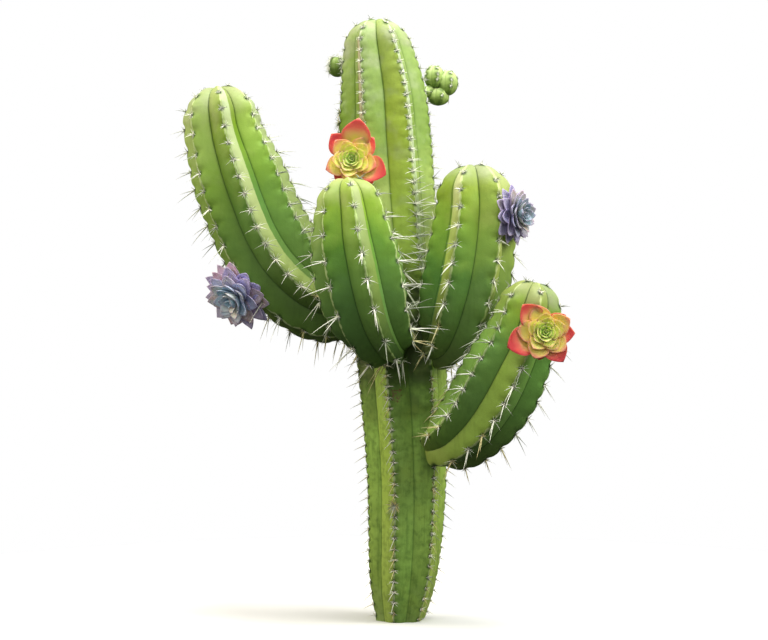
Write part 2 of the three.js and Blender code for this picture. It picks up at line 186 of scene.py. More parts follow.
# axis runs from foot to tip, and girth is [share of the axis, radius over the ribs]. ridgeAngle is where one
# rib stands at the tip, from the front towards +X, and twist is how far it has turned at the foot. crown and
# footCrown are how long the rounded ends are. grooves are depths at foot and tip, as shares of the radius.
# spines are [share, length] of the longest spine of each cushion, sides of those beside it and stars of the
# small ones. droop is how much the long ones hang, and leans are (push towards +X, share of the droop, times
# as long) for the ribs where they lie otherwise. rough is the height of the skin's relief, and notch is how
# deep a crest dips.
# faces are the tones of the two sides of each rib, painted light and shade for how each flank meets the lamps,
# from -1 deep (painted shade) to 1 pale (painted light), and darker still under -1 (more painted shade), and
# footFaces are the same at the foot. paintedLightBands are painted light on narrow flanks, (rib, side, inner
# edge, outer edge at foot and at tip). plain, pale and deep are colours from foot to tip: pale is the painted
# lit colour and deep the painted shaded one, and the darkest stops of plain, pale and deep are painted shade
# where the arms meet the trunk and on the trunk under the arms. Those of the limbs weren't chosen by hand:
# nearly all were worked out by a program that fitted the render to the photograph.
# scars are corky patches, (rib, middle and half width in half ribs, shares of the axis from and to, how
# solid), and tufts are extra spines, (rib, share of the axis, count, length).
usualStem = {
    "flatFoot": False,
    "twist": 0,
    "footCrown": 0,
    "bareFoot": 1,  # share of the rounded foot that bears no cushions
    "sidePairs": 1,
    "centrals": 2,
    "leans": {},
    "sparse": 0,  # share of the axis under which the stars are thin
    "paintedLightBands": [],
    "scars": [],
    "tufts": [],
    "mottle": 0.15,  # how blotched the skin is
    "streaks": 0.1,  # how dark the creases near the foot are
    "corkTints": [(0.25, 0x6A4C2A), (0.8, 0xC6BC92)],
}
limbs = {
    "trunk": {
        "nodes": ["trunk"],
        "flatFoot": True,
        "ribs": 6,
        "ridgeAngle": 29,
        "twist": 16,
        "axis": [(0, 0, 0), (11, 0, 160), (16, 0, 330), (6, 0, 585), (-20, 0, 865), (-34, 0, 1100),
                 (-39, 0, 1220), (-48, 0, 1300), (-54, 0, 1350), (-56, 0, 1404)],
        "girth": [(0, 58), (0.03, 70), (0.06, 79), (0.1, 86), (0.17, 91.5), (0.24, 95.5), (0.38, 104),
                  (0.5, 109), (0.62, 111), (0.78, 110), (0.83, 106), (0.86, 102.5), (0.91, 93), (0.93, 87),
                  (0.955, 80), (1, 72)],
        "crown": 66,
        "grooves": (0.13, 0.29),
        "spineStep": 25,
        "spines": [(0, 24), (0.3, 30), (0.5, 33), (0.62, 42), (0.72, 38), (0.8, 22), (1, 14)],
        "droop": [(0, 0.6), (0.4, 0.35), (0.6, 0.1), (1, 0)],
        "sides": [(0, 14), (0.4, 18), (0.46, 44), (0.7, 44), (0.77, 20), (1, 11)],
        "sidePairs": 3,
        "centrals": 1,
        "leans": {5: (-0.3, 2.2, 1.2)},
        "sparse": 0.42,
        "stars": [(0, 8), (0.4, 9), (0.5, 12), (0.75, 12), (1, 10)],
        "rough": 1.1,
        "notch": 3.2,
        "faces": [(-0.6, 0.1), (0.1, 0.6), (0.5, 0.75), (0.6, 0.7), (0.5, -0.1), (-0.2, 0.1)],
        "footFaces": [(-0.3, 0.9), (0.5, 0.6), (0.3, 0.6), (0.3, 0.6), (0.5, 0.15), (0.9, -0.7)],
        "paintedLightBands": [(0, 1, 0, 0.68, 0.14), (5, -1, 0, 0.2, 0.14), (2, 1, 0, 0.3, 0.3), (3, -1, 0, 0.3, 0.3)],
        # painted shade on the trunk under the arms: the dark stops at 0.42 and 0.52 of plain, and at 0.4 and
        # 0.5 of deep
        "plain": [(0.0, 0xA0BA66), (0.06, 0x92B24E), (0.3, 0xA2CE5C), (0.42, 0x3A4620), (0.52, 0x4C4E32),
                  (0.62, 0xB8CA6E), (0.8, 0x7C9E2E), (0.93, 0x88A44A), (1.0, 0x9EA678)],
        "pale": [(0.0, 0xBED864), (0.3, 0xBAD858), (0.42, 0xBEE064), (0.55, 0xC8DE8C), (0.7, 0xC4D6A0),
                 (1.0, 0xB8C0A4)],
        "deep": [(0.0, 0x88B850), (0.3, 0x96BA5A), (0.4, 0x4A6226), (0.5, 0x3A4E20), (0.6, 0xACD246),
                 (0.85, 0xB4C648), (1.0, 0x92A254)],
        "scars": [(5, -0.12, 0.1, 0.74, 0.965, 0.8), (5, 0.34, 0.26, 0.362, 0.386, 0.34),
                  (5, -0.16, 0.14, 0.365, 0.38, 0.36), (0, -0.05, 0.06, 0.1, 0.4, 0.24)],
        "tufts": [(5, 0.196, 30, 27), (0, 0.226, 14, 20), (4, 0.826, 22, 26), (4, 0.84, 16, 20)],
        "crestHighlightTint": 0xD8E6AE,
        "shadeAndFleckTint": 0x3E5E22,
        "mottle": 0.5,
        "streaks": 0.3,
    },
    "arm_left": {
        "nodes": ["arm_left_base", "arm_left_upper"],
        "ribs": 7,
        "ridgeAngle": 8,
        "twist": -18,
        "axis": [(-8, 0, 726), (-82, 2, 733), (-140, 4, 746), (-191, 6, 762), (-230, 7, 787), (-277, 8, 832),
                 (-318, 10, 893), (-348, 13, 958), (-380, 16, 1040), (-410, 19, 1129), (-421, 21, 1185),
                 (-431, 24, 1249)],
        "girth": [(0, 58), (0.09, 74), (0.14, 94), (0.18, 110), (0.25, 118), (0.4, 119), (0.6, 116),
                  (0.71, 114), (0.84, 98), (0.89, 94), (1, 88)],
        "crown": 78,
        "grooves": (0.27, 0.28),
        "spineStep": 40,
        "spines": [(0, 52), (0.5, 56), (0.7, 46), (0.85, 36), (1, 15)],
        "droop": [(0, 0.9), (0.45, 0.6), (0.65, 0.3), (0.8, 0.05), (1, 0)],
        "sides": [(0, 20), (0.3, 34), (0.55, 30), (0.75, 22), (1, 12)],
        "stars": [(0, 15), (0.6, 16), (0.85, 14), (1, 11)],
        "rough": 0.6,
        "notch": 4.8,
        "faces": [(-0.7, -1.5), (-0.35, 0.8), (0.8, 0.4), (-0.3, 0.3), (-0.3, 0.3), (-0.3, 0.2),
                  (-0.5, 0.05)],
        "paintedLightBands": [(0, 1, 0.06, 0.62, 0.54), (3, -1, 0.06, 0.5, 0.4), (4, 1, 0.06, 0.5, 0.4)],
        "leans": {0: (0.8, 0.2, 0.8), 1: (0.5, 0.2, 0.9)},
        # painted shade where the arm meets the trunk: the dark stops at 0.0
        "plain": [(0.0, 0x101A0C), (0.3, 0x668A3A), (0.5, 0x6C943A), (0.7, 0x88B038), (0.87, 0xA2BE5A),
                  (1.0, 0x9AA272)],
        "pale": [(0.0, 0x96A856), (0.3, 0x8EA052), (0.6, 0xA6B474), (0.85, 0xA8B67E), (1.0, 0xB8C698)],
        "deep": [(0.0, 0x485030), (0.3, 0x6E8C40), (0.6, 0x6C9A46), (0.85, 0x84A41E), (1.0, 0xACB86A)],
        "crestHighlightTint": 0xD6E6A6,
        "shadeAndFleckTint": 0x2C4A1A,
    },
    "arm_front": {
        "nodes": ["arm_front"],
        "ribs": 7,
        "ridgeAngle": 7,
        "axis": [(-2, -8, 652), (-20, -98, 650), (-42, -170, 662), (-66, -213, 706), (-82, -228, 762),
                 (-93, -230, 815), (-103, -227, 867), (-112, -218, 938), (-118, -209, 982),
                 (-121, -203, 1016)],
        "girth": [(0, 42), (0.18, 52), (0.28, 72), (0.4, 92), (0.5, 102), (0.6, 105), (0.7, 102), (0.77, 95),
                  (0.84, 86), (0.91, 77), (1, 70)],
        "crown": 58,
        "grooves": (0.27, 0.28),
        "spineStep": 47,
        "spines": [(0, 52), (0.5, 55), (0.75, 42), (0.88, 25), (1, 14)],
        "droop": [(0, 1.6), (0.4, 1.6), (0.55, 1.0), (0.7, 0.35), (0.85, 0), (1, -0.1)],
        "sides": [(0, 22), (0.5, 26), (0.75, 22), (1, 12)],
        "stars": [(0, 16), (0.6, 17), (0.85, 15), (1, 12)],
        "rough": 0.5,
        "notch": 4.8,
        "faces": [(-0.5, -0.1), (-0.1, 0.7), (0.4, 0.4), (-0.3, 0.3), (-0.3, 0.3), (-0.3, 0.2), (0.3, 0.0)],
        "paintedLightBands": [(0, 1, 0.06, 0.66, 0.7)],
        "leans": {1: (0.6, -0.1, 1.5), 6: (-0.6, 0.3, 1.3)},
        # painted shade where the arm meets the trunk: the dark stops at 0.0
        "plain": [(0.0, 0x1C2C10), (0.35, 0x5C7E3C), (0.5, 0x5E8840), (0.7, 0x5C8A26), (0.87, 0x82A428),
                  (1.0, 0xA8B06C)],
        "pale": [(0.0, 0x303A14), (0.35, 0x405C28), (0.6, 0x809846), (0.85, 0x9AAA6C), (1.0, 0xB4C080)],
        "deep": [(0.0, 0x3C5222), (0.35, 0x86B04E), (0.6, 0x9ECC5E), (0.85, 0x9EBC44), (1.0, 0xB6C05E)],
        "crestHighlightTint": 0xD2E49C,
        "shadeAndFleckTint": 0x26421A,
    },
    "arm_right": {
        "nodes": ["arm_right"],
        "ribs": 6,
        "ridgeAngle": -24,
        "axis": [(8, -3, 640), (68, -42, 636), (104, -78, 652), (123, -103, 690), (137, -115, 735),
                 (149, -119, 783), (164, -119, 874), (170, -115, 948), (169, -111, 985), (166, -107, 1056)],
        "girth": [(0, 42), (0.13, 50), (0.2, 64), (0.27, 78), (0.36, 94), (0.48, 102), (0.6, 102),
                  (0.75, 96), (0.85, 90), (1, 81)],
        "crown": 74,
        "grooves": (0.27, 0.28),
        "spineStep": 41.5,
        "spines": [(0, 46), (0.5, 45), (0.75, 38), (0.9, 24), (1, 14)],
        "droop": [(0, 1.2), (0.4, 1.1), (0.55, 0.8), (0.7, 0.3), (0.85, 0), (1, -0.1)],
        "sides": [(0, 22), (0.5, 26), (0.75, 22), (1, 12)],
        "stars": [(0, 15), (0.6, 16), (0.85, 14), (1, 11)],
        "rough": 0.5,
        "notch": 4.6,
        "faces": [(0.0, 0.0), (0.1, 0.6), (0.3, 0.4), (-0.3, 0.3), (-0.3, 0.3), (-0.3, 0.0)],
        "paintedLightBands": [(0, -1, 0, 0.74, 0.66)],
        "leans": {0: (-0.4, 1, 1), 5: (-0.2, 0.3, 1.3)},
        "plain": [(0.0, 0x7A7A4A), (0.35, 0x6E924C), (0.5, 0x5A863A), (0.7, 0x80A638), (0.87, 0x8AA230),
                  (1.0, 0x94A06C)],
        # painted shade where the arm meets the trunk: the dark stops at 0.0 of pale and deep
        "pale": [(0.0, 0x3A4632), (0.35, 0x8E9C4E), (0.6, 0xC8D46A), (0.85, 0xD6DA90), (1.0, 0xC0C096)],
        "deep": [(0.0, 0x10200C), (0.35, 0x345218), (0.6, 0x5A7828), (0.85, 0x809A3A), (1.0, 0xA2BC4E)],
        "crestHighlightTint": 0xD8E4A0,
        "shadeAndFleckTint": 0x26421A,
    },
    "arm_low": {
        "nodes": ["arm_low_base", "arm_low_upper"],
        "ribs": 6,
        "ridgeAngle": 13.5,
        "axis": [(70, -70, 416), (101, -110, 422), (127, -136, 434), (154, -157, 459), (181, -175, 492),
                 (209, -192, 537), (237, -207, 592), (264, -217, 652), (284, -222, 721), (299, -223, 787)],
        "girth": [(0, 62), (0.14, 76), (0.24, 86), (0.35, 94), (0.46, 99), (0.58, 97), (0.7, 87), (0.84, 76),
                  (1, 68)],
        "crown": 62,
        "footCrown": 66,
        "grooves": (0.24, 0.28),
        "spineStep": 37,
        "spines": [(0, 42), (0.3, 46), (0.6, 50), (0.8, 44), (0.92, 26), (1, 15)],
        "droop": [(0, 0.9), (0.3, 0.9), (0.6, 0.7), (0.75, 0.4), (0.9, 0), (1, -0.1)],
        "sides": [(0, 24), (0.5, 28), (0.75, 22), (1, 12)],
        "stars": [(0, 15), (0.6, 16), (0.85, 14), (1, 11)],
        "rough": 0.5,
        "notch": 4.6,
        "faces": [(0.9, -0.3), (-1.0, -0.8), (-0.5, 0.3), (-0.3, 0.3), (-0.3, 0.3), (0.4, -0.5)],
        "leans": {0: (-0.6, 1, 1.1), 5: (-0.7, 0.1, 1)},
        "plain": [(0.0, 0x6C7630), (0.2, 0x68943A), (0.45, 0x7CA652), (0.7, 0x86B452), (0.87, 0x9AB64A),
                  (1.0, 0x9AA254)],
        "pale": [(0.0, 0x98A850), (0.3, 0xA6C654), (0.6, 0x98B446), (0.85, 0x8E9050), (1.0, 0xA4B06E)],
        "deep": [(0.0, 0x6C7C32), (0.4, 0x6C9646), (0.7, 0x74AA4C), (0.87, 0x84B222), (1.0, 0x929278)],
        "crestHighlightTint": 0xD8E6A2,
        "shadeAndFleckTint": 0x26421A,
    },
}
budLook = {
    "ribs": 5,
    "ridgeAngle": 20,
    "bareFoot": 0.5,
    "grooves": (0.14, 0.17),
    "spineStep": 13,
    "spines": [(0, 7), (1, 5)],
    "droop": [(0, 0), (1, 0)],
    "sides": [(0, 0), (1, 0)],
    "stars": [(0, 9), (1, 7)],
    "rough": 0.3,
    "notch": 0.8,
    "perRib": 14,
    "rowGap": 2.2,
    # painted light and shade on the bud's flanks
    "faces": [(-0.1, 0.15)] * 5,
    "crestHighlightTint": 0xCEDA98,
    "shadeAndFleckTint": 0x5E7834,
}
buds = {
    "bud_right": {
        # darker towards the foot of each part: partly the bud's own colour, partly painted shade at the neck
        "plain": [(0.0, 0x7C9A42), (0.45, 0xA4BE64), (1.0, 0xCCDC96)],
        "pale": [(0.0, 0x9CB454), (1.0, 0xDCE6AE)],
        "deep": [(0.0, 0x5A7830), (1.0, 0xA4BC62)],
        "parts": [
            {"axis": [(36, 22, 1234), (58, 31, 1235), (78, 40, 1243)], "girth": [(0, 13), (1, 15)],
             "crown": 13},
            {"axis": [(79, 40, 1244), (80, 41, 1272), (81, 41, 1300)], "girth": [(0, 25), (1, 25)],
             "crown": 27, "footCrown": 27},
            {"axis": [(110, 45, 1228), (112, 46, 1258), (113, 47, 1289)], "girth": [(0, 26), (1, 25)],
             "crown": 30, "footCrown": 30},
            {"axis": [(88, 42, 1205), (90, 44, 1226), (92, 46, 1248)], "girth": [(0, 27), (1, 26)],
             "crown": 20, "footCrown": 20},
        ],
    },
    "bud_left": {
        "spineStep": 8,
        "stars": [(0, 15), (1, 15)],
        "plain": [(0.0, 0x56702E), (0.6, 0x76903E), (1.0, 0xA0B464)],
        "pale": [(0.0, 0x84984A), (1.0, 0xC4D08C)],
        "deep": [(0.0, 0x3C5422), (1.0, 0x70883C)],
        "parts": [
            {"axis": [(-86, 20, 1284), (-112, 30, 1286), (-140, 40, 1291)], "girth": [(0, 11), (1, 13)],
             "crown": 11},
            {"axis": [(-146, 42, 1272), (-147, 43, 1296), (-146, 45, 1320)], "girth": [(0, 25), (1, 25)],
             "crown": 23, "footCrown": 23},
        ],
    },
}
skinShape = {
    "firstCushion": 0.35,  # how far up the first cushion on a crest sits, in steps
    "perRib": 20,  # points across a rib, crowded at crest and groove
    "crowding": 0.78,
    "rowGap": 4.5,
    "crownGap": 3.0,
    "crestRound": 0.07,  # half width of the rounded crest, as a share of the flank
    "flank": 1.4,  # how full a flank is: 2 is nearly flat, 1 is a round rib
    "flankAtTip": 1.18,
    "youngFrom": 0.7,  # share of the axis from which the form turns to that at the tip
    "crease": 0.09,  # the sharp last part of a groove at the tip, as a share of its depth
    "creaseAtFoot": 0.25,  # as a share of that at the tip
    "dimple": 0.09,
    "notchWidth": 0.26,  # of the dip in the crest at each cushion, as a share of the flank
    "cushionShadowSize": 7,  # of the painted shadow round a cushion
    "notchShift": 0.1,  # how far above its cushion a dip lies, in steps
    "lumps": [(26, 1.3), (7, 0.4)],  # size and height of the skin's relief
    "fullAt": 90,  # radius from which dips and lumps have their full height
    "smoothCrest": 0.6,  # how much lower the lumps are on a crest
    "tipFrom": 1.1,  # lift, in radians, from which the tip is dimpled
    "grown": (0.42, 0.12),  # share of the axis where the foot's faces change, and over how much
    "sideSoft": 0.12,
    "bandSoft": 0.4,
    "scarSoft": (0.05, 0.006),  # across and along
}
axisSteps = 240
curveSteps = 60  # between two points of an axis, before it is measured


def seeded(seed):
    wave = np.sin(np.asarray(seed, float) * 12.9898 + 4.1414) * 43758.5453
    return wave - np.floor(wave)


def unit(vectors):
    return vectors / np.linalg.norm(vectors, axis=-1, keepdims=True)


# A smooth curve through the rows (share, value) of a table, read at an array of shares
def readTable(table, share):
    places, values = np.array(table, float).T
    share = np.asarray(share, float)
    last = len(places) - 1
    i = np.clip(np.searchsorted(places, share, side="left") - 1, 0, last - 1)
    before = np.maximum(np.arange(last + 1) - 1, 0)
    after = np.minimum(np.arange(last + 1) + 1, last)
    slope = (values[after] - values[before]) / (places[after] - places[before])
    width = places[i + 1] - places[i]
    t = (share - places[i]) / width
    return (values[i] * (2 * t**3 - 3 * t**2 + 1) + slope[i] * width * (t**3 - 2 * t**2 + t)
            + values[i + 1] * (3 * t**2 - 2 * t**3) + slope[i + 1] * width * (t**3 - t**2))


# The limb's axis with a frame at each step, carried from the tip down to the foot
def survey(limb):
    points = np.array(limb["axis"], float)
    ends = [2 * points[0] - points[1], *points, 2 * points[-1] - points[-2]]
    t = np.linspace(0, 1, curveSteps, endpoint=False)[:, None]
    path = []
    for a, b, c, d in zip(ends, ends[1:], ends[2:], ends[3:]):
        gaps = [np.linalg.norm(q - p) ** 0.5 for p, q in ((a, b), (b, c), (c, d))]
        leave = ((b - a) / gaps[0] - (c - a) / (gaps[0] + gaps[1]) + (c - b) / gaps[1]) * gaps[1]
        reach = ((c - b) / gaps[1] - (d - b) / (gaps[1] + gaps[2]) + (d - c) / gaps[2]) * gaps[1]
        path.append(b * (2 * t**3 - 3 * t**2 + 1) + leave * (t**3 - 2 * t**2 + t)
                    + c * (3 * t**2 - 2 * t**3) + reach * (t**3 - t**2))
    path = np.concatenate([*path, points[-1:]])
    run = np.concatenate([[0], np.cumsum(np.linalg.norm(np.diff(path, axis=0), axis=1))])
    steps = np.linspace(0, run[-1], axisSteps + 1)
    at = np.stack([np.interp(steps, run, path[:, c]) for c in range(3)], axis=1)
    along = unit(np.gradient(at, axis=0))
    if limb["flatFoot"]:
        along[0] = (0, 0, 1)
    front = np.array([0.0, -1.0, 0.0])
    fronts = np.empty_like(at)
    for i in range(axisSteps, -1, -1):
        front = unit(front - along[i] * front.dot(along[i]))
        fronts[i] = front
    frames = {"at": at, "along": along, "front": fronts, "side": -np.cross(fronts, along)}
    return {**limb, "frames": frames, "length": float(run[-1])}


def frameAt(limb, share):
    place = np.clip(share, 0, 1) * axisSteps
    low = np.minimum(np.floor(place).astype(int), axisSteps - 1)
    part = (place - low)[..., None]
    found = {name: rows[low] * (1 - part) + rows[low + 1] * part for name, rows in limb["frames"].items()}
    return {name: rows if name == "at" else unit(rows) for name, rows in found.items()}


# Rows of the skin from the middle of the foot to the tip: share of the axis, how far drawn in, and lift
def rowsOf(limb, shape):
    heel = limb["footCrown"] / limb["length"]
    shoulder = 1 - limb["crown"] / limb["length"]
    rows = [(0, 0, 0)]
    if heel:
        count = math.ceil(limb["footCrown"] * 1.5 / shape["rowGap"])
        for angle in np.linspace(0, math.pi / 2, count + 1)[1:-1]:
            rows.append((heel * (1 - math.cos(angle)), math.sin(angle), 0))
    count = math.ceil((shoulder - heel) * limb["length"] / shape["rowGap"])
    rows += [(share, 1, 0) for share in np.linspace(heel, shoulder, count + 1)]
    count = math.ceil(limb["crown"] * 1.5 / min(shape["crownGap"], shape["rowGap"]))
    for lift in np.linspace(0, math.pi / 2, count + 1)[1:]:
        rows.append((shoulder + (1 - shoulder) * math.sin(lift), max(math.cos(lift), 0), lift))
    return np.array(rows)


# Points of the skin. turn is in ribs, so a whole number is a crest and a half is a groove
def skinPoints(limb, shape, share, draw, lift, turn):
    rib = np.rint(turn)
    offset = (turn - rib) * 2
    flat = np.abs(offset)
    soft = shape["crestRound"]
    flat = (np.sqrt(flat**2 + soft**2) - soft) / (math.sqrt(1 + soft**2) - soft)
    young = np.clip((share - shape["youngFrom"]) / (1 - shape["youngFrom"]), 0, 1)
    full = shape["flank"] + (shape["flankAtTip"] - shape["flank"]) * young
    crease = shape["crease"] * (shape["creaseAtFoot"] + (1 - shape["creaseAtFoot"]) * young)
    sunk = (1 - crease) * (full * flat + (1 - full) * flat**2) + crease * flat**12
    depth = limb["grooves"][0] + (limb["grooves"][1] - limb["grooves"][0]) * share
    radius = readTable(limb["girth"], share) * (1 - depth * sunk)
    count = math.floor(limb["length"] / limb["spineStep"])
    phase = share * count - shape["firstCushion"] - 0.5 * (rib % limb["ribs"] % 2)
    phase = phase - np.rint(phase)
    crest = np.exp(-((offset / shape["notchWidth"]) ** 2))
    size = np.minimum(readTable(limb["girth"], share) / shape["fullAt"], 1)
    wave = (1 + np.cos((phase - shape["notchShift"]) * 2 * math.pi)) / 2
    radius = radius - limb["notch"] * size * wave**2 * crest
    frames = frameAt(limb, share)
    angle = np.radians(limb["ridgeAngle"] + limb["twist"] * (1 - share) + 360 / limb["ribs"] * turn)
    spoke = frames["front"] * np.cos(angle)[:, None] + frames["side"] * np.sin(angle)[:, None]
    bare = frames["at"] + spoke * (radius * draw)[:, None]
    lumps = [sum(noise.noise(Vector(p) / width) * high for width, high in shape["lumps"]) for p in bare]
    swell = np.array(lumps) * limb["rough"] * size * (1 - shape["smoothCrest"] * crest)
    late = np.clip((lift - shape["tipFrom"]) / (math.pi / 2 - shape["tipFrom"]), 0, 1)
    drop = shape["dimple"] * limb["crown"] * np.maximum(np.sin(lift) ** 4 * flat, late**2 * (3 - 2 * late))
    rise = swell * np.sin(lift) * draw - drop
    points = bare + spoke * (swell * draw)[:, None] + frames["along"] * rise[:, None]
    which = (rib % limb["ribs"]).astype(int)
    tones = np.array(limb["faces"], float)[which]
    if "footFaces" in limb:
        grown = np.clip((share - shape["grown"][0]) / shape["grown"][1], 0, 1)[:, None]
        tones = np.array(limb["footFaces"], float)[which] * (1 - grown) + tones * grown
    side = np.clip(offset / shape["sideSoft"] + 0.5, 0, 1)
    band = 0 * share
    scar = 0 * share
    for banded, hand, inner, wide, narrow in limb["paintedLightBands"]:
        beside = np.minimum(wide + (narrow - wide) * share - offset * hand, offset * hand - inner)
        band = np.maximum(band, np.clip(beside / shape["bandSoft"] + 0.5, 0, 1) * (which == banded))
    across, up = shape["scarSoft"]
    for scarred, middle, half, start, end, solid in limb["scars"]:
        beside = np.clip((half - np.abs(offset - middle)) / across + 0.5, 0, 1) * (which == scarred)
        upon = np.clip((share - start) / up + 0.5, 0, 1) * np.clip((end - share) / up + 0.5, 0, 1)
        scar = np.maximum(scar, beside * upon * solid)
    around = np.abs(offset) * math.pi * np.linalg.norm(points - frames["at"], axis=1) / limb["ribs"]
    gap = np.hypot(around, phase * limb["length"] / count)
    # face carries the painted light and shade of the flanks, band the painted light bands, and seat the
    # painted shadow round each cushion
    traits = {"rib": flat, "rise": share + 0 * flat, "face": tones[:, 0] * (1 - side) + tones[:, 1] * side,
              "seat": np.exp(-((gap / shape["cushionShadowSize"]) ** 2)), "band": band, "scar": scar}
    return points, traits


# Adds a grid of around x rows faces to bm and moves its points on to a closed form
def wrapGrid(bm, around, rows, place, traitNames):
    for name in traitNames:
        if name not in bm.verts.layers.float:
            bm.verts.layers.float.new(name)
    verts = bmesh.ops.create_grid(bm, x_segments=around, y_segments=rows, size=1)["verts"]
    flat = np.array([v.co[:2] for v in verts])
    columns = np.rint((flat[:, 0] + 1) / 2 * around).astype(int)
    levels = np.rint((flat[:, 1] + 1) / 2 * rows).astype(int)
    points, traits = place(columns % around, levels)
    for vert, point in zip(verts, points):
        vert.co = point * mm
    for name in traitNames:
        layer = bm.verts.layers.float[name]
        for vert, value in zip(verts, traits[name]):
            vert[layer] = value
    bmesh.ops.remove_doubles(bm, verts=verts, dist=1e-6)


def finishMesh(bm, name, finishes, sharpAt=50):
    bmesh.ops.recalc_face_normals(bm, faces=bm.faces)
    for face in bm.faces:
        face.smooth = True
    for edge in bm.edges:
        edge.smooth = edge.calc_face_angle(0) < math.radians(sharpAt)
    mesh = bpy.data.meshes.new(name)
    bm.to_mesh(mesh)
    bm.free()
    return placePiece(mesh, name, finishes)


def placePiece(mesh, name, finishes):
    for finish in finishes:
        mesh.materials.append(finish)
    piece = bpy.data.objects.new(name, mesh)
    bpy.context.scene.collection.objects.link(piece)
    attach(piece, "root")
    return piece


skinTraits = ("rise", "rib", "face", "seat", "band", "scar")


def addSkin(bm, limb, shape):
    rows = rowsOf(limb, shape)
    perRib = shape["perRib"]

    def place(columns, levels):
        part = (columns % perRib) / perRib
        part = part - shape["crowding"] * np.sin(4 * math.pi * part) / (4 * math.pi)
        turn = columns // perRib + part
        return skinPoints(limb, shape, *rows[levels].T, turn)

    wrapGrid(bm, limb["ribs"] * perRib, len(rows) - 1, place, skinTraits)


skinPattern = {
    "noises": {"clouds": (50, 3), "mottle": (13.333, 5), "pores": (1.4286, 2), "cracks": (4.5455, 3),
               "creases": (31.25, 4)},  # size in mm, and detail
    "creaseStretch": (3, 3, 0.35),  # so that creases run up the limb
    "cloudDrift": 0.2,  # how far the clouds shift the colours, as a share of the axis
    "bump": (0.35, 0.6),  # strength, and height in mm
    "roughness": (0.42, 0.6),
    "specular": 0.22,
}


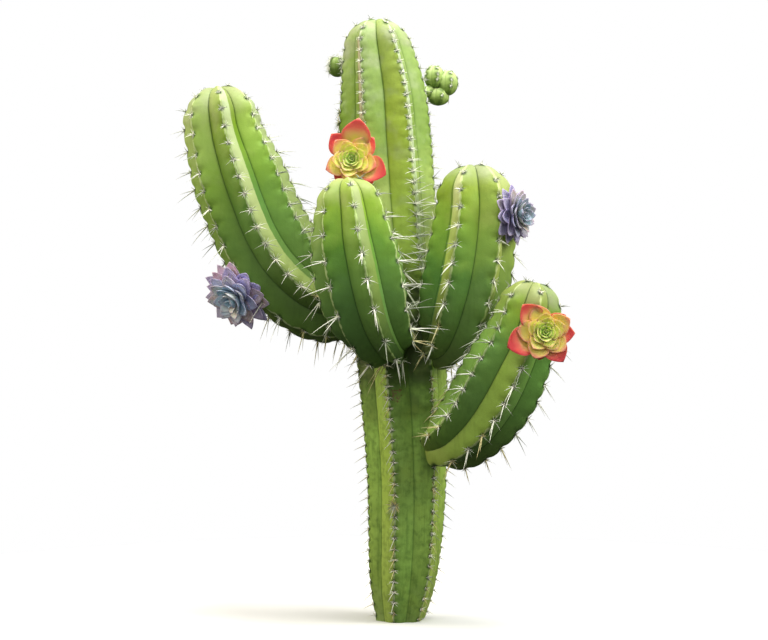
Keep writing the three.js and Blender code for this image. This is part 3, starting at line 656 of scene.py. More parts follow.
# Living stem: waxy skin, semi-matt and blotched, with painted light and shade on its flanks, a painted
# highlight along each crest, painted shade in the grooves, round each cushion and where the arms meet the
# trunk, and darker creases near the foot
def skinFinish(name, look, pattern):
    finish, tree, shader = newFinish(name)
    place = addNode(tree, "ShaderNodeTexCoord").outputs["Object"]
    stretched = addNode(tree, "ShaderNodeMapping", {"Vector": place, "Scale": pattern["creaseStretch"]})
    rise, rib, face, seat, band, scar = [
        addNode(tree, "ShaderNodeAttribute", attribute_name=trait).outputs["Fac"] for trait in skinTraits]
    clouds, mottle, pores, cracks, creases = [
        addNode(tree, "ShaderNodeTexNoise", {"Vector": stretched.outputs[0] if key == "creases" else place,
                                             "Scale": 1000 / size, "Detail": detail}).outputs[0]
        for key, (size, detail) in pattern["noises"].items()]
    far = pattern["cloudDrift"]
    drift = addNode(tree, "ShaderNodeMath", {0: clouds, 1: far, 2: -far / 2}, operation="MULTIPLY_ADD")
    aged = addNode(tree, "ShaderNodeMath", {0: rise, 1: drift.outputs[0]}, operation="ADD").outputs[0]
    plain, pale, deep, cork = [
        addNode(tree, "ShaderNodeValToRGB", {0: by}, stops=look[key]).outputs[0]
        for key, by in (("plain", aged), ("pale", aged), ("deep", aged), ("corkTints", scar))]
    # groove is the dark tint of the painted shade, the flecks and the creases, and crest that of the painted
    # highlight along the crests
    groove, crest = toLinear(look["shadeAndFleckTint"]), toLinear(look["crestHighlightTint"])

    # painted light and shade: each flank mixes towards the painted lit colour (pale) or the painted shaded
    # colour (deep) by its tone
    body = plain
    for sign, tint in ((1.0, pale), (-1.0, deep)):
        share = addNode(tree, "ShaderNodeMath", {0: face, 1: sign}, operation="MULTIPLY", use_clamp=True)
        mixed = addNode(tree, "ShaderNodeMix", {0: share.outputs[0], 6: body, 7: tint}, data_type="RGBA")
        body = mixed.outputs[2]
    bandEdge, crestEdge, corky = [
        addNode(tree, "ShaderNodeMath", {0: wavy, 1: by, 2: value}, operation="MULTIPLY_ADD").outputs[0]
        for wavy, by, value in ((mottle, 0.25, band), (mottle, 0.16, rib), (cracks, 1.6, scar))]
    oldSkin = (rise, 0.38, 0.5, look["streaks"], 0.06)

    # each layer's tint, and how much of it: (value, from, to, amount at from, amount at to), multiplied
    layers = [
        # painted shade on flanks whose tone is under -1
        (groove, (face, -2, -1, 0.7, 0)),
        # painted light bands on narrow flanks
        (pale, (bandEdge, 0.57, 0.69, 0, 1)),
        (pale, (clouds, 0.5, 0.75, 0, look["mottle"] * 0.5)),
        (groove, (mottle, 0.45, 0.72, 0, look["mottle"] * 0.7), (rise, 0.35, 0.6, 1, 0.35)),  # flecks
        (groove, (creases, 0.5, 0.68, 0, 1), oldSkin),
        # painted shade in the grooves
        (groove, (rib, 0.88, 1, 0, 1), (rise, 0.5, 0.95, 0.18, 0.45)),
        (groove, (rib, 0.95, 1, 0, 0.5)),  # painted shade: a fine dark line at the bottom of a groove
        # painted highlight along each crest
        (crest, (crestEdge, 0.085, 0.115, 0.6, 0)),
        # painted shadow round each cushion
        (groove, (seat, 0.1, 0.8, 0, 0.9)),
        (cork, (corky, 1.08, 1.25, 0, 0.9), (scar, 0.05, 0.2, 0, 1)),
    ]
    for tint, *spreads in layers:
        amount = 1.0
        for value, low, high, start, end in spreads:
            spread = addNode(tree, "ShaderNodeMapRange", {0: value, 1: low, 2: high, 3: start, 4: end},
                             interpolation_type="SMOOTHSTEP").outputs[0]
            amount = addNode(tree, "ShaderNodeMath", {0: amount, 1: spread}, operation="MULTIPLY").outputs[0]
        body = addNode(tree, "ShaderNodeMix", {0: amount, 6: body, 7: tint}, data_type="RGBA").outputs[2]
    tree.links.new(body, shader.inputs["Base Color"])
    least, most = pattern["roughness"]
    rough = addNode(tree, "ShaderNodeMapRange", {0: mottle, 3: least, 4: most})
    tree.links.new(rough.outputs[0], shader.inputs["Roughness"])
    value, low, high, start, end = oldSkin
    folds = addNode(tree, "ShaderNodeMapRange", {0: value, 1: low, 2: high, 3: start * 20, 4: end * 20},
                    interpolation_type="SMOOTHSTEP").outputs[0]
    relief = pores
    for wavy, by in ((mottle, 3.0), (creases, folds)):
        added = addNode(tree, "ShaderNodeMath", {0: wavy, 1: by, 2: relief}, operation="MULTIPLY_ADD")
        relief = added.outputs[0]
    strength, height = pattern["bump"]
    bump = addNode(tree, "ShaderNodeBump", {"Height": relief, "Strength": strength, "Distance": height * mm})
    tree.links.new(bump.outputs[0], shader.inputs["Normal"])
    shader.inputs["Specular IOR Level"].default_value = pattern["specular"]
    return finish


surveys = {name: survey({**usualStem, **limb}) for name, limb in limbs.items()}
for name, limb in surveys.items():
    bm = bmesh.new()
    addSkin(bm, limb, skinShape)
    piece = finishMesh(bm, name + "_skin", [skinFinish("waxy skin " + name, limb, skinPattern)])
    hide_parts(*limb["nodes"])
    print("skin", name, len(piece.data.polygons), "faces")

budParts = {}
for name, look in buds.items():
    shape = {**skinShape, "perRib": budLook["perRib"], "rowGap": budLook["rowGap"]}
    budParts[name] = [survey({**usualStem, **budLook, **look, **part}) for part in look["parts"]]
    bm = bmesh.new()
    for part in budParts[name]:
        addSkin(bm, part, shape)
    youngSkin = skinFinish("young skin " + name, budParts[name][0], skinPattern)
    piece = finishMesh(bm, name + "_skin", [youngSkin])
    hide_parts(name)
    print("bud", name, len(piece.data.polygons), "faces")


# outer are the lowest leaves as (angle from the plant's right, reach). whorls are the rest, each as
# (leaves, length as a share of the radius, tilt). Leaf sizes are shares of its length.
redLook = {
    "slot": "rosette_red",
    "radius": 78,
    "outerTilt": 10,
    "whorls": [(5, 0.84, 15), (5, 0.66, 24), (5, 0.53, 33), (5, 0.41, 42), (5, 0.31, 52), (4, 0.22, 64),
               (3, 0.16, 80)],
    "lift": 0.24,
    "width": 0.7,
    "heartWidth": 0.95,
    "thick": 0.085,
    "cup": 0.1,
    "spread": 9,
    "outline": [(0, 0.36), (0.25, 0.6), (0.48, 0.92), (0.6, 1.0), (0.74, 0.86), (0.86, 0.55), (0.94, 0.26),
                (1, 0)],
}
violetLook = {
    "slot": "rosette_violet",
    "radius": 78,
    "outerTilt": 0,
    "whorls": [(9, 0.97, 9), (8, 0.9, 21), (7, 0.8, 33), (6, 0.68, 45), (5, 0.54, 57), (4, 0.38, 70)],
    "lift": 0.34,
    "width": 0.52,
    "heartWidth": 0.62,
    "thick": 0.11,
    "cup": 0.13,
    "spread": 6,
    "outline": [(0, 0.45), (0.25, 0.75), (0.47, 1.0), (0.64, 0.93), (0.8, 0.66), (0.92, 0.3), (1, 0)],
}
rosettes = {
    "rosette_red_upper": {
        **redLook,
        "heart": (-107, -113, 1060),
        "facing": (-0.14, -0.96, 0.16),
        "outer": [(73, 102), (121, 84), (39, 74), (326, 90), (303, 78), (222, 62)],
        "turn": 45,
    },
    "rosette_red_lower": {
        **redLook,
        "heart": (309, -307, 670),
        "facing": (0.12, -0.98, 0.1),
        "outer": [(136, 84), (208, 97), (6, 71), (308, 77), (264, 64), (46, 62), (92, 52)],
        "turn": 34,
    },
    "rosette_violet_left": {
        **violetLook,
        "outerTilt": 6,
        "radius": 88,
        "heart": (-368, -24, 764),
        "facing": (-0.52, -0.7, -0.49),
        "outer": [(a, 90) for a in range(10, 360, 33)],
        "turn": 0,
    },
    "rosette_violet_right": {
        **violetLook,
        "radius": 66,
        "heart": (246, -162, 934),
        "facing": (0.82, -0.57, 0.03),
        "outer": [(a, 70) for a in range(10, 360, 33)],
        "turn": 40,
    },
}
leafRound = 16
leafRows = 14
coreSize, heartSize, stemSize = 0.2, 0.13, 0.15  # radii, as shares of the rosette's


def addLeaf(bm, look, length, tilt, turn, lift, inner, tone, place):
    halfWidth = length * (look["width"] + (look["heartWidth"] - look["width"]) * min(inner * 1.5, 1)) / 2
    halfThick = length * look["thick"] / 2

    def shapeLeaf(columns, levels):
        v = levels / leafRows
        full = np.where((levels == 0) | (levels == leafRows), 0, readTable(look["outline"], v))
        angle = 2 * math.pi * columns / leafRound
        across = full * np.cos(angle)
        swell = look["cup"] * length * (v**2 + across**2 - 0.3 * v)
        z = halfThick * full**0.5 * np.sin(angle) * (1 - 0.25 * v) + swell
        points = np.stack([length * v, halfWidth * across, z], axis=1)
        turned = Matrix.Rotation(turn, 3, "Z") @ Matrix.Rotation(-tilt, 3, "Y")
        points = points @ np.array(turned).T + np.array([0, 0, lift])
        points = points @ np.array(place.to_3x3()).T + np.array(place.translation)
        edge = np.abs(np.cos(angle)) * np.where(full > 0, 1, 0)
        same = 0 * v
        return points, {"lengthwise": v, "margin": edge, "inner": same + inner, "tone": same + tone}

    wrapGrid(bm, leafRound, leafRows, shapeLeaf, ("lengthwise", "margin", "inner", "tone"))


def addRosette(bm, look):
    turned = Vector((0, 0, 1)).rotation_difference(Vector(look["facing"]).normalized())
    place = Matrix.Translation(look["heart"]) @ turned.to_matrix().to_4x4()
    leaves = [(math.radians(angle), reach, look["outerTilt"], 0.0) for angle, reach in look["outer"]]
    turn = look["turn"]
    for level, (count, share, tilt) in enumerate(look["whorls"], 1):
        for i in range(count):
            angle = math.radians(turn + 360 * i / count + look["spread"] * float(seeded(level * 31 + i)))
            leaves.append((angle, look["radius"] * share, tilt, level / len(look["whorls"])))
        turn += 180 / count + 21
    for i, (angle, length, tilt, inner) in enumerate(leaves):
        length *= 0.96 + 0.08 * float(seeded(i + look["turn"]))
        tilt = math.radians(tilt + 8 * (float(seeded(i + 5)) - 0.5))
        lift = look["radius"] * look["lift"] * inner
        addLeaf(bm, look, length, tilt, angle, lift, inner, float(seeded(i * 3 + look["turn"])), place)
    size = look["radius"] * mm
    core = bmesh.ops.create_uvsphere(bm, u_segments=16, v_segments=10, radius=size * coreSize)
    heart = bmesh.ops.create_uvsphere(bm, u_segments=16, v_segments=10, radius=size * heartSize)
    bmesh.ops.translate(bm, verts=heart["verts"], vec=(0, 0, size * (look["lift"] - 0.03)))
    stem = bmesh.ops.create_cone(bm, cap_ends=True, segments=14, radius1=size * stemSize,
                                 radius2=size * stemSize, depth=size)
    bmesh.ops.translate(bm, verts=stem["verts"], vec=(0, 0, -size / 2))
    middle = core["verts"] + heart["verts"] + stem["verts"]
    for vert in middle:
        vert[bm.verts.layers.float["inner"]] = 1
    moved = place.copy()
    moved.translation = place.translation * mm
    bmesh.ops.transform(bm, matrix=moved, verts=middle)


leafTints = {
    "red": {
        "cloudSize": 16.667,  # mm
        "flesh": [(0.0, 0xD8D054), (0.15, 0xEADA6A), (0.4, 0xD8E46A), (0.65, 0xBCE066), (1.0, 0xA2D25C)],
        "blush": [(0.0, 0xD8CC5A), (0.35, 0xEEAC78), (0.65, 0xE6705A), (1.0, 0xD23A40)],
        "rim": [(0.0, 0xD4484A), (0.2, 0xEE8E7C), (0.8, 0xE8AE80)],
    },
    # the same violet leaf as lilac, painted lighter and bluer: painted light for the left rosette, which sits
    # in shade
    "violetPaintedLight": {
        "cloudSize": 11.765,
        "bloom": [(0.25, 0xD0CDFA), (0.5, 0xDCD2F7), (0.72, 0xE4D4EA), (0.86, 0xEDDADA), (1.0, 0xE7BAC3)],
        "heart": [(0.25, 0xB8DEEF), (0.6, 0xD2E3F0), (0.9, 0xE8EFE4), (1.0, 0xFAE0D6)],
        "rim": 0xBFA8CE,
        "root": 0x7E7488,
    },
    "lilac": {
        "cloudSize": 11.765,
        "bloom": [(0.25, 0x9490B8), (0.5, 0xA6A2BE), (0.75, 0xACA2BA), (0.95, 0xB4AEA6), (1.0, 0xC4A29C)],
        "heart": [(0.25, 0x86A0AA), (0.6, 0x9AA8AC), (0.9, 0xAAB0A0), (1.0, 0xC2A898)],
        "rim": 0xBFA8CE,
        "root": 0x7E7488,
    },
}


# The traits of a leaf and a soft cloud, read by the leaf's finish
def leafTraits(tree, cloudSize):
    place = addNode(tree, "ShaderNodeTexCoord").outputs["Object"]
    traits = [addNode(tree, "ShaderNodeAttribute", attribute_name=trait).outputs["Fac"]
              for trait in ("lengthwise", "margin", "inner", "tone")]
    cloud = addNode(tree, "ShaderNodeTexNoise", {"Vector": place, "Scale": 1000 / cloudSize, "Detail": 4.0})
    return (*traits, cloud.outputs[0])


# Succulent leaf, smooth and waxy: green heart, yellow-green leaves, red along the margins and the old tips
def redFinish(name, tints):
    finish, tree, shader = newFinish(name)
    lengthwise, margin, inner, tone, cloud = leafTraits(tree, tints["cloudSize"])
    flesh = addNode(tree, "ShaderNodeValToRGB", {0: inner}, stops=tints["flesh"]).outputs[0]
    bare = addNode(tree, "ShaderNodeMapRange", {0: inner, 1: 0.0, 2: 0.14, 3: 0.42, 4: 0.66}).outputs[0]
    tip = addNode(tree, "ShaderNodeMapRange", {0: lengthwise, 1: bare, 2: 1.0}).outputs[0]
    side = addNode(tree, "ShaderNodeMath", {0: margin, 1: 5.0}, operation="POWER").outputs[0]
    tip = addNode(tree, "ShaderNodeMath", {0: side, 1: 0.35, 2: tip}, operation="MULTIPLY_ADD").outputs[0]
    shed = addNode(tree, "ShaderNodeMapRange", {0: inner, 1: 0.0, 2: 0.3, 3: 1.25, 4: 0.1}).outputs[0]
    drawn = addNode(tree, "ShaderNodeMath", {0: tone, 1: 0.5, 2: 0.7}, operation="MULTIPLY_ADD").outputs[0]
    red = addNode(tree, "ShaderNodeMath", {0: tip, 1: shed}, operation="MULTIPLY").outputs[0]
    red = addNode(tree, "ShaderNodeMath", {0: red, 1: drawn}, operation="MULTIPLY").outputs[0]
    cloudy = addNode(tree, "ShaderNodeMath", {0: cloud, 1: 0.3, 2: -0.15}, operation="MULTIPLY_ADD")
    red = addNode(tree, "ShaderNodeMath", {0: red, 1: cloudy.outputs[0]}, operation="ADD", use_clamp=True)
    red = red.outputs[0]
    blush = addNode(tree, "ShaderNodeValToRGB", {0: red}, stops=tints["blush"]).outputs[0]
    share = addNode(tree, "ShaderNodeMapRange", {0: red, 1: 0.06, 2: 0.6}).outputs[0]
    leaf = addNode(tree, "ShaderNodeMix", {0: share, 6: flesh, 7: blush}, data_type="RGBA").outputs[2]
    rim = addNode(tree, "ShaderNodeMath", {0: margin, 1: 4.0}, operation="POWER").outputs[0]
    point = addNode(tree, "ShaderNodeMapRange", {0: lengthwise, 1: 0.8, 2: 0.96}).outputs[0]
    rim = addNode(tree, "ShaderNodeMath", {0: rim, 1: point}, operation="MAXIMUM").outputs[0]
    faded = addNode(tree, "ShaderNodeMapRange", {0: inner, 1: 0.1, 2: 0.8, 3: 0.9, 4: 0.55}).outputs[0]
    rim = addNode(tree, "ShaderNodeMath", {0: rim, 1: faded}, operation="MULTIPLY").outputs[0]
    pink = addNode(tree, "ShaderNodeValToRGB", {0: inner}, stops=tints["rim"]).outputs[0]
    leaf = addNode(tree, "ShaderNodeMix", {0: rim, 6: leaf, 7: pink}, data_type="RGBA").outputs[2]
    tree.links.new(leaf, shader.inputs["Base Color"])
    shader.inputs["Roughness"].default_value = 0.5
    shader.inputs["Specular IOR Level"].default_value = 0.3
    shader.inputs["Subsurface Weight"].default_value = 0.45  # light that soaks through the flesh
    shader.inputs["Subsurface Radius"].default_value = (0.9, 1.0, 0.4)
    shader.inputs["Subsurface Scale"].default_value = 0.01
    bump = addNode(tree, "ShaderNodeBump", {"Height": cloud, "Strength": 0.2, "Distance": 0.001})
    tree.links.new(bump.outputs[0], shader.inputs["Normal"])
    return finish


# Succulent leaf under a powdery bloom, matt: lilac, some leaves greenish, pinkish margins; the left rosette's
# copy is painted lighter and bluer, as painted light against the shade it sits in
def violetFinish(name, tints):
    finish, tree, shader = newFinish(name)
    lengthwise, margin, inner, tone, cloud = leafTraits(tree, tints["cloudSize"])
    drawn = -0.04
    for value, by in ((tone, 0.8), (cloud, 0.5)):
        added = addNode(tree, "ShaderNodeMath", {0: value, 1: by, 2: drawn}, operation="MULTIPLY_ADD")
        drawn = added.outputs[0]
    old, young = [addNode(tree, "ShaderNodeValToRGB", {0: drawn}, stops=tints[key]).outputs[0]
                  for key in ("bloom", "heart")]
    share = addNode(tree, "ShaderNodeMapRange", {0: inner, 1: 0.2, 2: 0.6}).outputs[0]
    leaf = addNode(tree, "ShaderNodeMix", {0: share, 6: old, 7: young}, data_type="RGBA").outputs[2]
    edge = addNode(tree, "ShaderNodeMath", {0: margin, 1: 9.0}, operation="POWER").outputs[0]
    tip = addNode(tree, "ShaderNodeMapRange", {0: lengthwise, 1: 0.84, 2: 1.0}).outputs[0]
    rim = addNode(tree, "ShaderNodeMath", {0: edge, 1: tip}, operation="MAXIMUM").outputs[0]
    rim = addNode(tree, "ShaderNodeMath", {0: rim, 1: 0.7}, operation="MULTIPLY").outputs[0]
    root = addNode(tree, "ShaderNodeMapRange", {0: lengthwise, 1: 0.0, 2: 0.5, 3: 0.4, 4: 0.0}).outputs[0]
    for amount, key in ((rim, "rim"), (root, "root")):
        tint = toLinear(tints[key])
        leaf = addNode(tree, "ShaderNodeMix", {0: amount, 6: leaf, 7: tint}, data_type="RGBA").outputs[2]
    tree.links.new(leaf, shader.inputs["Base Color"])
    shader.inputs["Roughness"].default_value = 0.62
    shader.inputs["Subsurface Weight"].default_value = 0.25
    shader.inputs["Subsurface Radius"].default_value = (0.9, 0.9, 1.0)
    shader.inputs["Subsurface Scale"].default_value = 0.005
    bump = addNode(tree, "ShaderNodeBump", {"Height": cloud, "Strength": 0.25, "Distance": 0.001})
    tree.links.new(bump.outputs[0], shader.inputs["Normal"])
    return finish


redLeaf = redFinish("waxy red-edged leaf", leafTints["red"])
leafFinishes = {
    "rosette_red_upper": redLeaf,
    "rosette_red_lower": redLeaf,
    "rosette_violet_left": violetFinish("powdery violet leaf with painted light", leafTints["violetPaintedLight"]),
    "rosette_violet_right": violetFinish("powdery lilac leaf", leafTints["lilac"]),
}
for name, look in rosettes.items():
    bm = bmesh.new()
    addRosette(bm, look)
    piece = finishMesh(bm, name + "_leaves", [leafFinishes[name]], sharpAt=70)
    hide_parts(name)
    print("rosette", name, len(piece.data.polygons), "faces")


spineLook = {
    "longRadius": 1.5,  # at the root
    "usualLength": 45,  # a shorter long spine is thinner, and a longer one thicker
    "longSides": 5,
    "longRings": 6,
    "starRadius": 1.0,
    "tuftRadius": 1.3,
    "starSides": 4,
    "starRings": 3,
    "starSpines": 9,
    "sunk": 2.5,  # how deep the root of a long spine sits in the skin
    "sideSunk": 1.5,
    "tuftSunk": 2,
    "starSunk": 1.2,
    "tipLong": 0.85,  # shares of the axis from which long spines and stars count as near the tip
    "tipStars": 0.8,
    "paleLong": (0.8, 0.5),  # shares of the long spines that are pale, low down and near the tip
    "paleSides": 0.75,
    "paleStarsFrom": (0.3, 0.5),  # shares of the star's spines that are grey, in the same way
    "tanStars": 0.5,  # shares that are tan, at an old cushion and in a tuft
    "tanTufts": 0.7,
    "thinKept": 0.55,  # share of a star's spines where the stars are thin
    "spread": 0.3,
    "clearance": 2.0,  # mm from any other limb
    "sag": 0.16,  # how far a long spine's tip bends down, as a share of its length
    "taper": 0.8,
    "grain": 8.3333,  # mm
    "padSize": (2.8, 3.4, 1.6),
    "budPads": 0.45,  # sizes on a bud, as shares of those on a limb
    "budStars": 0.8,
    "hiddenBelow": 3,  # no cushion is this near another limb
    "nearRosette": (0.7, 0.75),  # parts of a rosette's radius with no cushion and with no long spine
    "nearGround": (4, 3),  # heights under which there is no cushion and no tip of a long spine
    "tries": [(0, 1), (0.5, 0.9), (-0.5, 0.8), (1.2, 0.7), (0, 0.55)],  # (more droop, length)
    "sideTries": (1, 0.75, 0.5),
    "sideRadius": 0.68,
}
greySpine, paleSpine, tanSpine = 0, 1, 2
# each random draw of a cushion: its place in the cushion's list, and the least and the most it gives
draws = {
    "age": (0, 0, 1),
    "kind": (1, 0, 1),
    "pad": (2, 0.85, 1.15),
    "starTurn": (3, -0.3, 0.3),
    "starLift": (13, 0.25, 0.75),
    "starReach": (23, 0.65, 1.25),
    "starKind": (33, 0, 1),
    "sideReach": (42, 0.65, 1.25),
    "sideTilt": (46, -0.5, 0.5),
    "sideLift": (50, 0.3, 0.7),
    "bend": (52, 0.4, 1),
    "sideKind": (54, 0, 1),
    "asideUp": (56, -0.55, 0.55),
    "asideAcross": (57, -0.45, 0.45),
    "hang": (58, 0.6, 1.4),
}
drawCount = 60


# One draw of a cushion, or the one for its spine k
def drawFrom(chance, name, k=0):
    place, least, most = draws[name]
    return least + (most - least) * chance[place + k]


# How far points lie outside a limb, taken as a chain of balls
def outsideBy(limb, points):
    steps = np.arange(0, axisSteps + 1, 4)
    share = steps / axisSteps
    left = (1 - share) * limb["length"]
    drawn = np.sqrt(np.clip(1 - np.clip(1 - left / limb["crown"], 0, 1) ** 2, 0, 1))
    if limb["footCrown"]:
        risen = np.clip(1 - share * limb["length"] / limb["footCrown"], 0, 1)
        drawn = drawn * np.sqrt(1 - risen**2)
    radius = readTable(limb["girth"], share) * drawn
    centres = limb["frames"]["at"][steps]
    gaps = np.linalg.norm(points[:, None, :] - centres[None], axis=2) - radius[None]
    return gaps.min(axis=1)


# Where the cushions sit on the crests, with the way out of each
def cushionsOf(limb, shape):
    shoulder = 1 - limb["crown"] / limb["length"]
    count = math.floor(limb["length"] / limb["spineStep"])
    ribs, steps = [a.ravel() for a in np.meshgrid(np.arange(limb["ribs"]), np.arange(count), indexing="ij")]
    share = (steps + shape["firstCushion"] + 0.5 * (ribs % 2)) / count
    heel = limb["footCrown"] / limb["length"]
    kept = (share >= heel * limb["bareFoot"]) & (share < 1)
    ribs, steps, share = ribs[kept], steps[kept], share[kept]
    lift = np.arcsin(np.clip((share - shoulder) / (1 - shoulder), 0, 1))
    sunk = np.clip(1 - share / max(heel, 1e-6), 0, 1)
    at = skinPoints(limb, shape, share, np.cos(lift) * np.sqrt(1 - sunk**2), lift, ribs.astype(float))[0]
    frames = frameAt(limb, share)
    out = at - frames["at"]
    out = unit(out - frames["along"] * (out * frames["along"]).sum(axis=1, keepdims=True))
    out = out * np.cos(lift)[:, None] + frames["along"] * np.sin(lift)[:, None]
    along = unit(frames["along"] - out * (out * frames["along"]).sum(axis=1, keepdims=True))
    found = {"at": at, "out": out, "along": along, "across": np.cross(out, along), "share": share,
             "rib": ribs, "seed": ribs * 97 + steps}
    return found, count


# One mesh of many tapered, bent spines, from arrays of roots, ways, lengths, radii and bends
def spineMesh(name, rows, sides, rings, taper):
    root, way, length, radius, bend, kind = [np.array(c, float) for c in zip(*rows)]
    helper = np.where(np.abs(way[:, 2:3]) < 0.8, [[0, 0, 1.0]], [[1.0, 0, 0]])
    first = unit(np.cross(way, helper))
    second = np.cross(way, first)
    part = np.linspace(0, 1, rings + 1)[:-1]
    reach = length[:, None, None]
    up = part[None, :, None]
    middle = root[:, None] + way[:, None] * reach * up + bend[:, None] * reach * up**2
    angle = np.arange(sides) / sides * 2 * math.pi
    ring = first[:, None] * np.cos(angle)[None, :, None] + second[:, None] * np.sin(angle)[None, :, None]
    thin = radius[:, None] * (1 - part[None]) ** taper
    verts = middle[:, :, None] + ring[:, None] * thin[:, :, None, None]
    verts = verts.reshape(len(root), rings * sides, 3)
    tips = root + (way + bend) * length[:, None]
    verts = np.concatenate([verts, tips[:, None]], axis=1)
    step = rings * sides + 1
    last = step - 1 - sides
    faces = [tuple(range(sides))[::-1]]
    for low in range(0, last, sides):
        for s in range(sides):
            t = (s + 1) % sides
            faces.append((low + s, low + t, low + sides + t, low + sides + s))
    faces += [(last + s, last + (s + 1) % sides, step - 1) for s in range(sides)]
    joined = [tuple(v + i * step for v in face) for i in range(len(root)) for face in faces]
    mesh = bpy.data.meshes.new(name)
    mesh.from_pydata((verts.reshape(-1, 3) * mm).tolist(), [], joined)
    mesh.polygons.foreach_set("material_index", np.repeat(kind.astype(int), len(faces)))
    mesh.polygons.foreach_set("use_smooth", np.ones(len(joined), bool))
    mesh.update()
    return mesh


# Woolly cushions, each a small flat ball set along the rib
def padMesh(name, pads):
    bm = bmesh.new()
    bmesh.ops.create_uvsphere(bm, u_segments=8, v_segments=5, radius=1)
    ball = np.array([v.co[:] for v in bm.verts])
    faces = [tuple(v.index for v in f.verts) for f in bm.faces]
    bm.free()
    verts = []
    for pad in pads:
        frame = np.array([pad["across"], pad["along"], pad["out"]])
        verts.append(pad["at"] + ball @ (frame * pad["size"][:, None]))
    joined = [tuple(v + i * len(ball) for v in face) for i in range(len(pads)) for face in faces]
    mesh = bpy.data.meshes.new(name)
    mesh.from_pydata((np.concatenate(verts) * mm).tolist(), [], joined)
    mesh.polygons.foreach_set("use_smooth", np.ones(len(joined), bool))
    mesh.update()
    return mesh


# Dry spine: hard horn, grey where weathered, whiter when young, tan near the feet of the arms
def spineFinish(name, pale, dark, roughness, grainSize):
    finish, tree, shader = newFinish(name)
    place = addNode(tree, "ShaderNodeTexCoord").outputs["Object"]
    grain = addNode(tree, "ShaderNodeTexNoise", {"Vector": place, "Scale": 1000 / grainSize, "Detail": 2.0})
    tone = addNode(tree, "ShaderNodeValToRGB", {0: grain.outputs[0]}, stops=[(0.3, dark), (0.65, pale)])
    tree.links.new(tone.outputs[0], shader.inputs["Base Color"])
    shader.inputs["Roughness"].default_value = roughness
    return finish


# Rows for spineMesh: the extra spines of a tuft, in a dense bunch at one cushion
def tuftAt(look, seat, count, reach):
    rows = []
    for k in range(count):
        roll = seeded(seat["seed"] * 5.0 + k * 3.0 + np.arange(3))
        angle = 2 * math.pi * (k + 0.5 * roll[0]) / count
        around = seat["across"] * math.cos(angle) + seat["along"] * math.sin(angle)
        way = unit(around + seat["out"] * (0.2 + 0.9 * roll[1]))
        kind = tanSpine if roll[1] < look["tanTufts"] else greySpine
        length = reach * (0.6 + 0.6 * roll[2])
        bend = np.array([0, 0, -look["sag"]])
        rows.append((seat["at"] - way * look["tuftSunk"], way, length, look["tuftRadius"], bend, kind))
    return rows


# The star of small spines round a cushion
def starAt(look, limb, seat, chance, isOld, thick):
    rows = []
    share, sunk = seat["share"], look["starSunk"]
    reach = float(readTable(limb["stars"], share))
    paleFrom = look["paleStarsFrom"][0 if share < look["tipStars"] else 1]
    for k in range(look["starSpines"]):
        roll = drawFrom(chance, "starKind", k)
        if share < limb["sparse"] and roll > look["thinKept"]:
            continue
        angle = 2 * math.pi * (k + drawFrom(chance, "starTurn", k)) / look["starSpines"]
        around = seat["across"] * math.cos(angle) + seat["along"] * math.sin(angle)
        way = unit(around + seat["out"] * drawFrom(chance, "starLift", k))
        length = reach * drawFrom(chance, "starReach", k)
        kind = paleSpine if roll > paleFrom else greySpine
        if isOld and roll < look["tanStars"]:
            kind = tanSpine
        rows.append((seat["at"] - way * sunk, way, length + sunk, thick, -seat["out"] * 0.1, kind))
    return rows


# The long spines of a cushion, the middle ones first. Each is turned or shortened until it is clear
def longAt(look, limb, seat, chance, isOld, isClear):
    rows = []
    at, out, along, across = [seat[key] for key in ("at", "out", "along", "across")]
    share, seed = seat["share"], seat["seed"]
    palest = look["paleLong"][0 if share < look["tipLong"] else 1]
    kind = paleSpine if drawFrom(chance, "kind") < palest else greySpine
    if isOld:
        kind = tanSpine
    push, kept, times = limb["leans"].get(int(seat["rib"]), (0, 1, 1))
    hang = float(readTable(limb["droop"], share)) * kept * drawFrom(chance, "hang")
    bend = np.array([0, 0, -look["sag"]]) * drawFrom(chance, "bend")
    longest = float(readTable(limb["spines"], share)) * (0.85 + look["spread"] * seeded(seed + 67)) * times
    aside = along * drawFrom(chance, "asideUp") + across * drawFrom(chance, "asideAcross")
    sunk = look["sunk"]
    for c in range(limb["centrals"]):
        length = longest * (1 - 0.25 * c)
        for extra, shorter in look["tries"]:
            way = out + c * aside
            way[2] -= hang + extra
            way[0] += (seeded(seed) - 0.5) * look["spread"] + push
            way[1] += (seeded(seed + 31) - 0.5) * look["spread"]
            way = unit(way)
            if isClear(at, way, length * shorter, bend):
                size = look["longRadius"] * (0.495 + 0.54 * min(length / look["usualLength"], 1.2))
                rows.append((at - way * sunk, way, length * shorter + sunk, size, bend, kind))
                break
    sunk, size = look["sideSunk"], look["longRadius"] * look["sideRadius"]
    for k in range(2 * limb["sidePairs"]):
        length = float(readTable(limb["sides"], share)) * drawFrom(chance, "sideReach", k)
        tilt = along * (drawFrom(chance, "sideTilt", k) + 0.5 * (k // 2)) * 0.6
        way = across * (2 * (k % 2) - 1) + out * drawFrom(chance, "sideLift", k) + tilt
        way = unit(way - np.array([0, 0, 0.25 * hang]))
        for shorter in look["sideTries"]:
            if isClear(at, way, length * shorter, bend):
                kind = paleSpine if drawFrom(chance, "sideKind", k) < look["paleSides"] else greySpine
                rows.append((at - way * sunk, way, length * shorter + sunk, size, bend, kind))
                break
    return rows


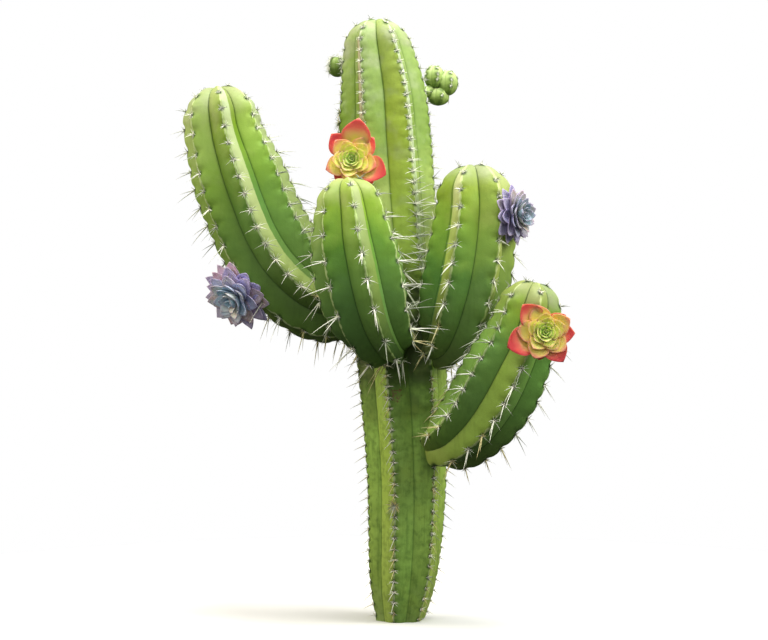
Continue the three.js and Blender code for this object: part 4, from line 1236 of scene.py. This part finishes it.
# All the rows for spineMesh and padMesh, one cushion after another
def growSpines(look):
    longRows, starRows, pads = [], [], []
    hearts = np.array([r["heart"] for r in rosettes.values()], float)
    radii = np.array([r["radius"] for r in rosettes.values()])
    every = {**surveys, **{f"{n}{i}": p for n, parts in budParts.items() for i, p in enumerate(parts)}}
    parts = np.array([0.1, 0.25, 0.4, 0.55, 0.7, 0.85, 1])[:, None]
    for name, limb in every.items():
        isBud = name not in surveys
        others = [other for key, other in every.items() if key != name]
        found, count = cushionsOf(limb, skinShape)
        hidden = np.min([outsideBy(other, found["at"]) for other in others], axis=0) < look["hiddenBelow"]

        def isClear(root, way, length, bend):
            tests = root + way * length * parts + bend * length * parts**2
            if min(outsideBy(other, tests).min() for other in others) <= look["clearance"]:
                return False
            away = np.linalg.norm(tests[:, None] - hearts, axis=2) / radii
            return away.min() > look["nearRosette"][1] and tests[-1][2] > look["nearGround"][1]

        for i, isHidden in enumerate(hidden):
            seat = {key: rows[i] for key, rows in found.items()}
            at, share = seat["at"], seat["share"]
            away = np.linalg.norm(at - hearts, axis=1) / radii
            if isHidden or away.min() < look["nearRosette"][0] or at[2] < look["nearGround"][0]:
                continue
            chance = seeded(seat["seed"] * 7.0 + np.arange(drawCount))
            age = drawFrom(chance, "age")
            # old cushions are scattered over the lower trunk, and lie near the feet of the arms
            isOld = age < 0.45 and share < 0.5 if limb["flatFoot"] else share < 0.15 + 0.25 * age
            size = np.array(look["padSize"]) * (look["budPads"] if isBud else 1)
            pads.append({**seat, "size": size * drawFrom(chance, "pad")})
            for rib, tuftShare, tuftCount, reach in limb["tufts"]:
                if rib == seat["rib"] and abs(tuftShare - share) < 0.5 / count:
                    longRows += tuftAt(look, seat, tuftCount, reach)
            thick = look["starRadius"] * (look["budStars"] if isBud else 1)
            starRows += starAt(look, limb, seat, chance, isOld, thick)
            if not isBud:
                longRows += longAt(look, limb, seat, chance, isOld, isClear)
    return longRows, starRows, pads


longRows, starRows, pads = growSpines(spineLook)
# in the order of greySpine, paleSpine and tanSpine
horn = [spineFinish("weathered grey spine", 0xB6BCA2, 0x7E8670, 0.5, spineLook["grain"]),
        spineFinish("pale young spine", 0xFFFEEC, 0xE4E6CE, 0.45, spineLook["grain"]),
        spineFinish("tan old spine", 0xF2E8A8, 0xC4B278, 0.55, spineLook["grain"])]
wool = [spineFinish("felted cushion wool", 0x8C8672, 0x4C483A, 0.95, spineLook["grain"])]
made = []
for name, rows, kind in (("long_spines", longRows, "long"), ("star_spines", starRows, "star")):
    sides, rings = spineLook[kind + "Sides"], spineLook[kind + "Rings"]
    made.append((spineMesh(name, rows, sides, rings, spineLook["taper"]), horn))
made.append((padMesh("spine_cushions", pads), wool))
for mesh, finishes in made:
    piece = placePiece(mesh, mesh.name, finishes)
    print(mesh.name, len(mesh.polygons), "faces")
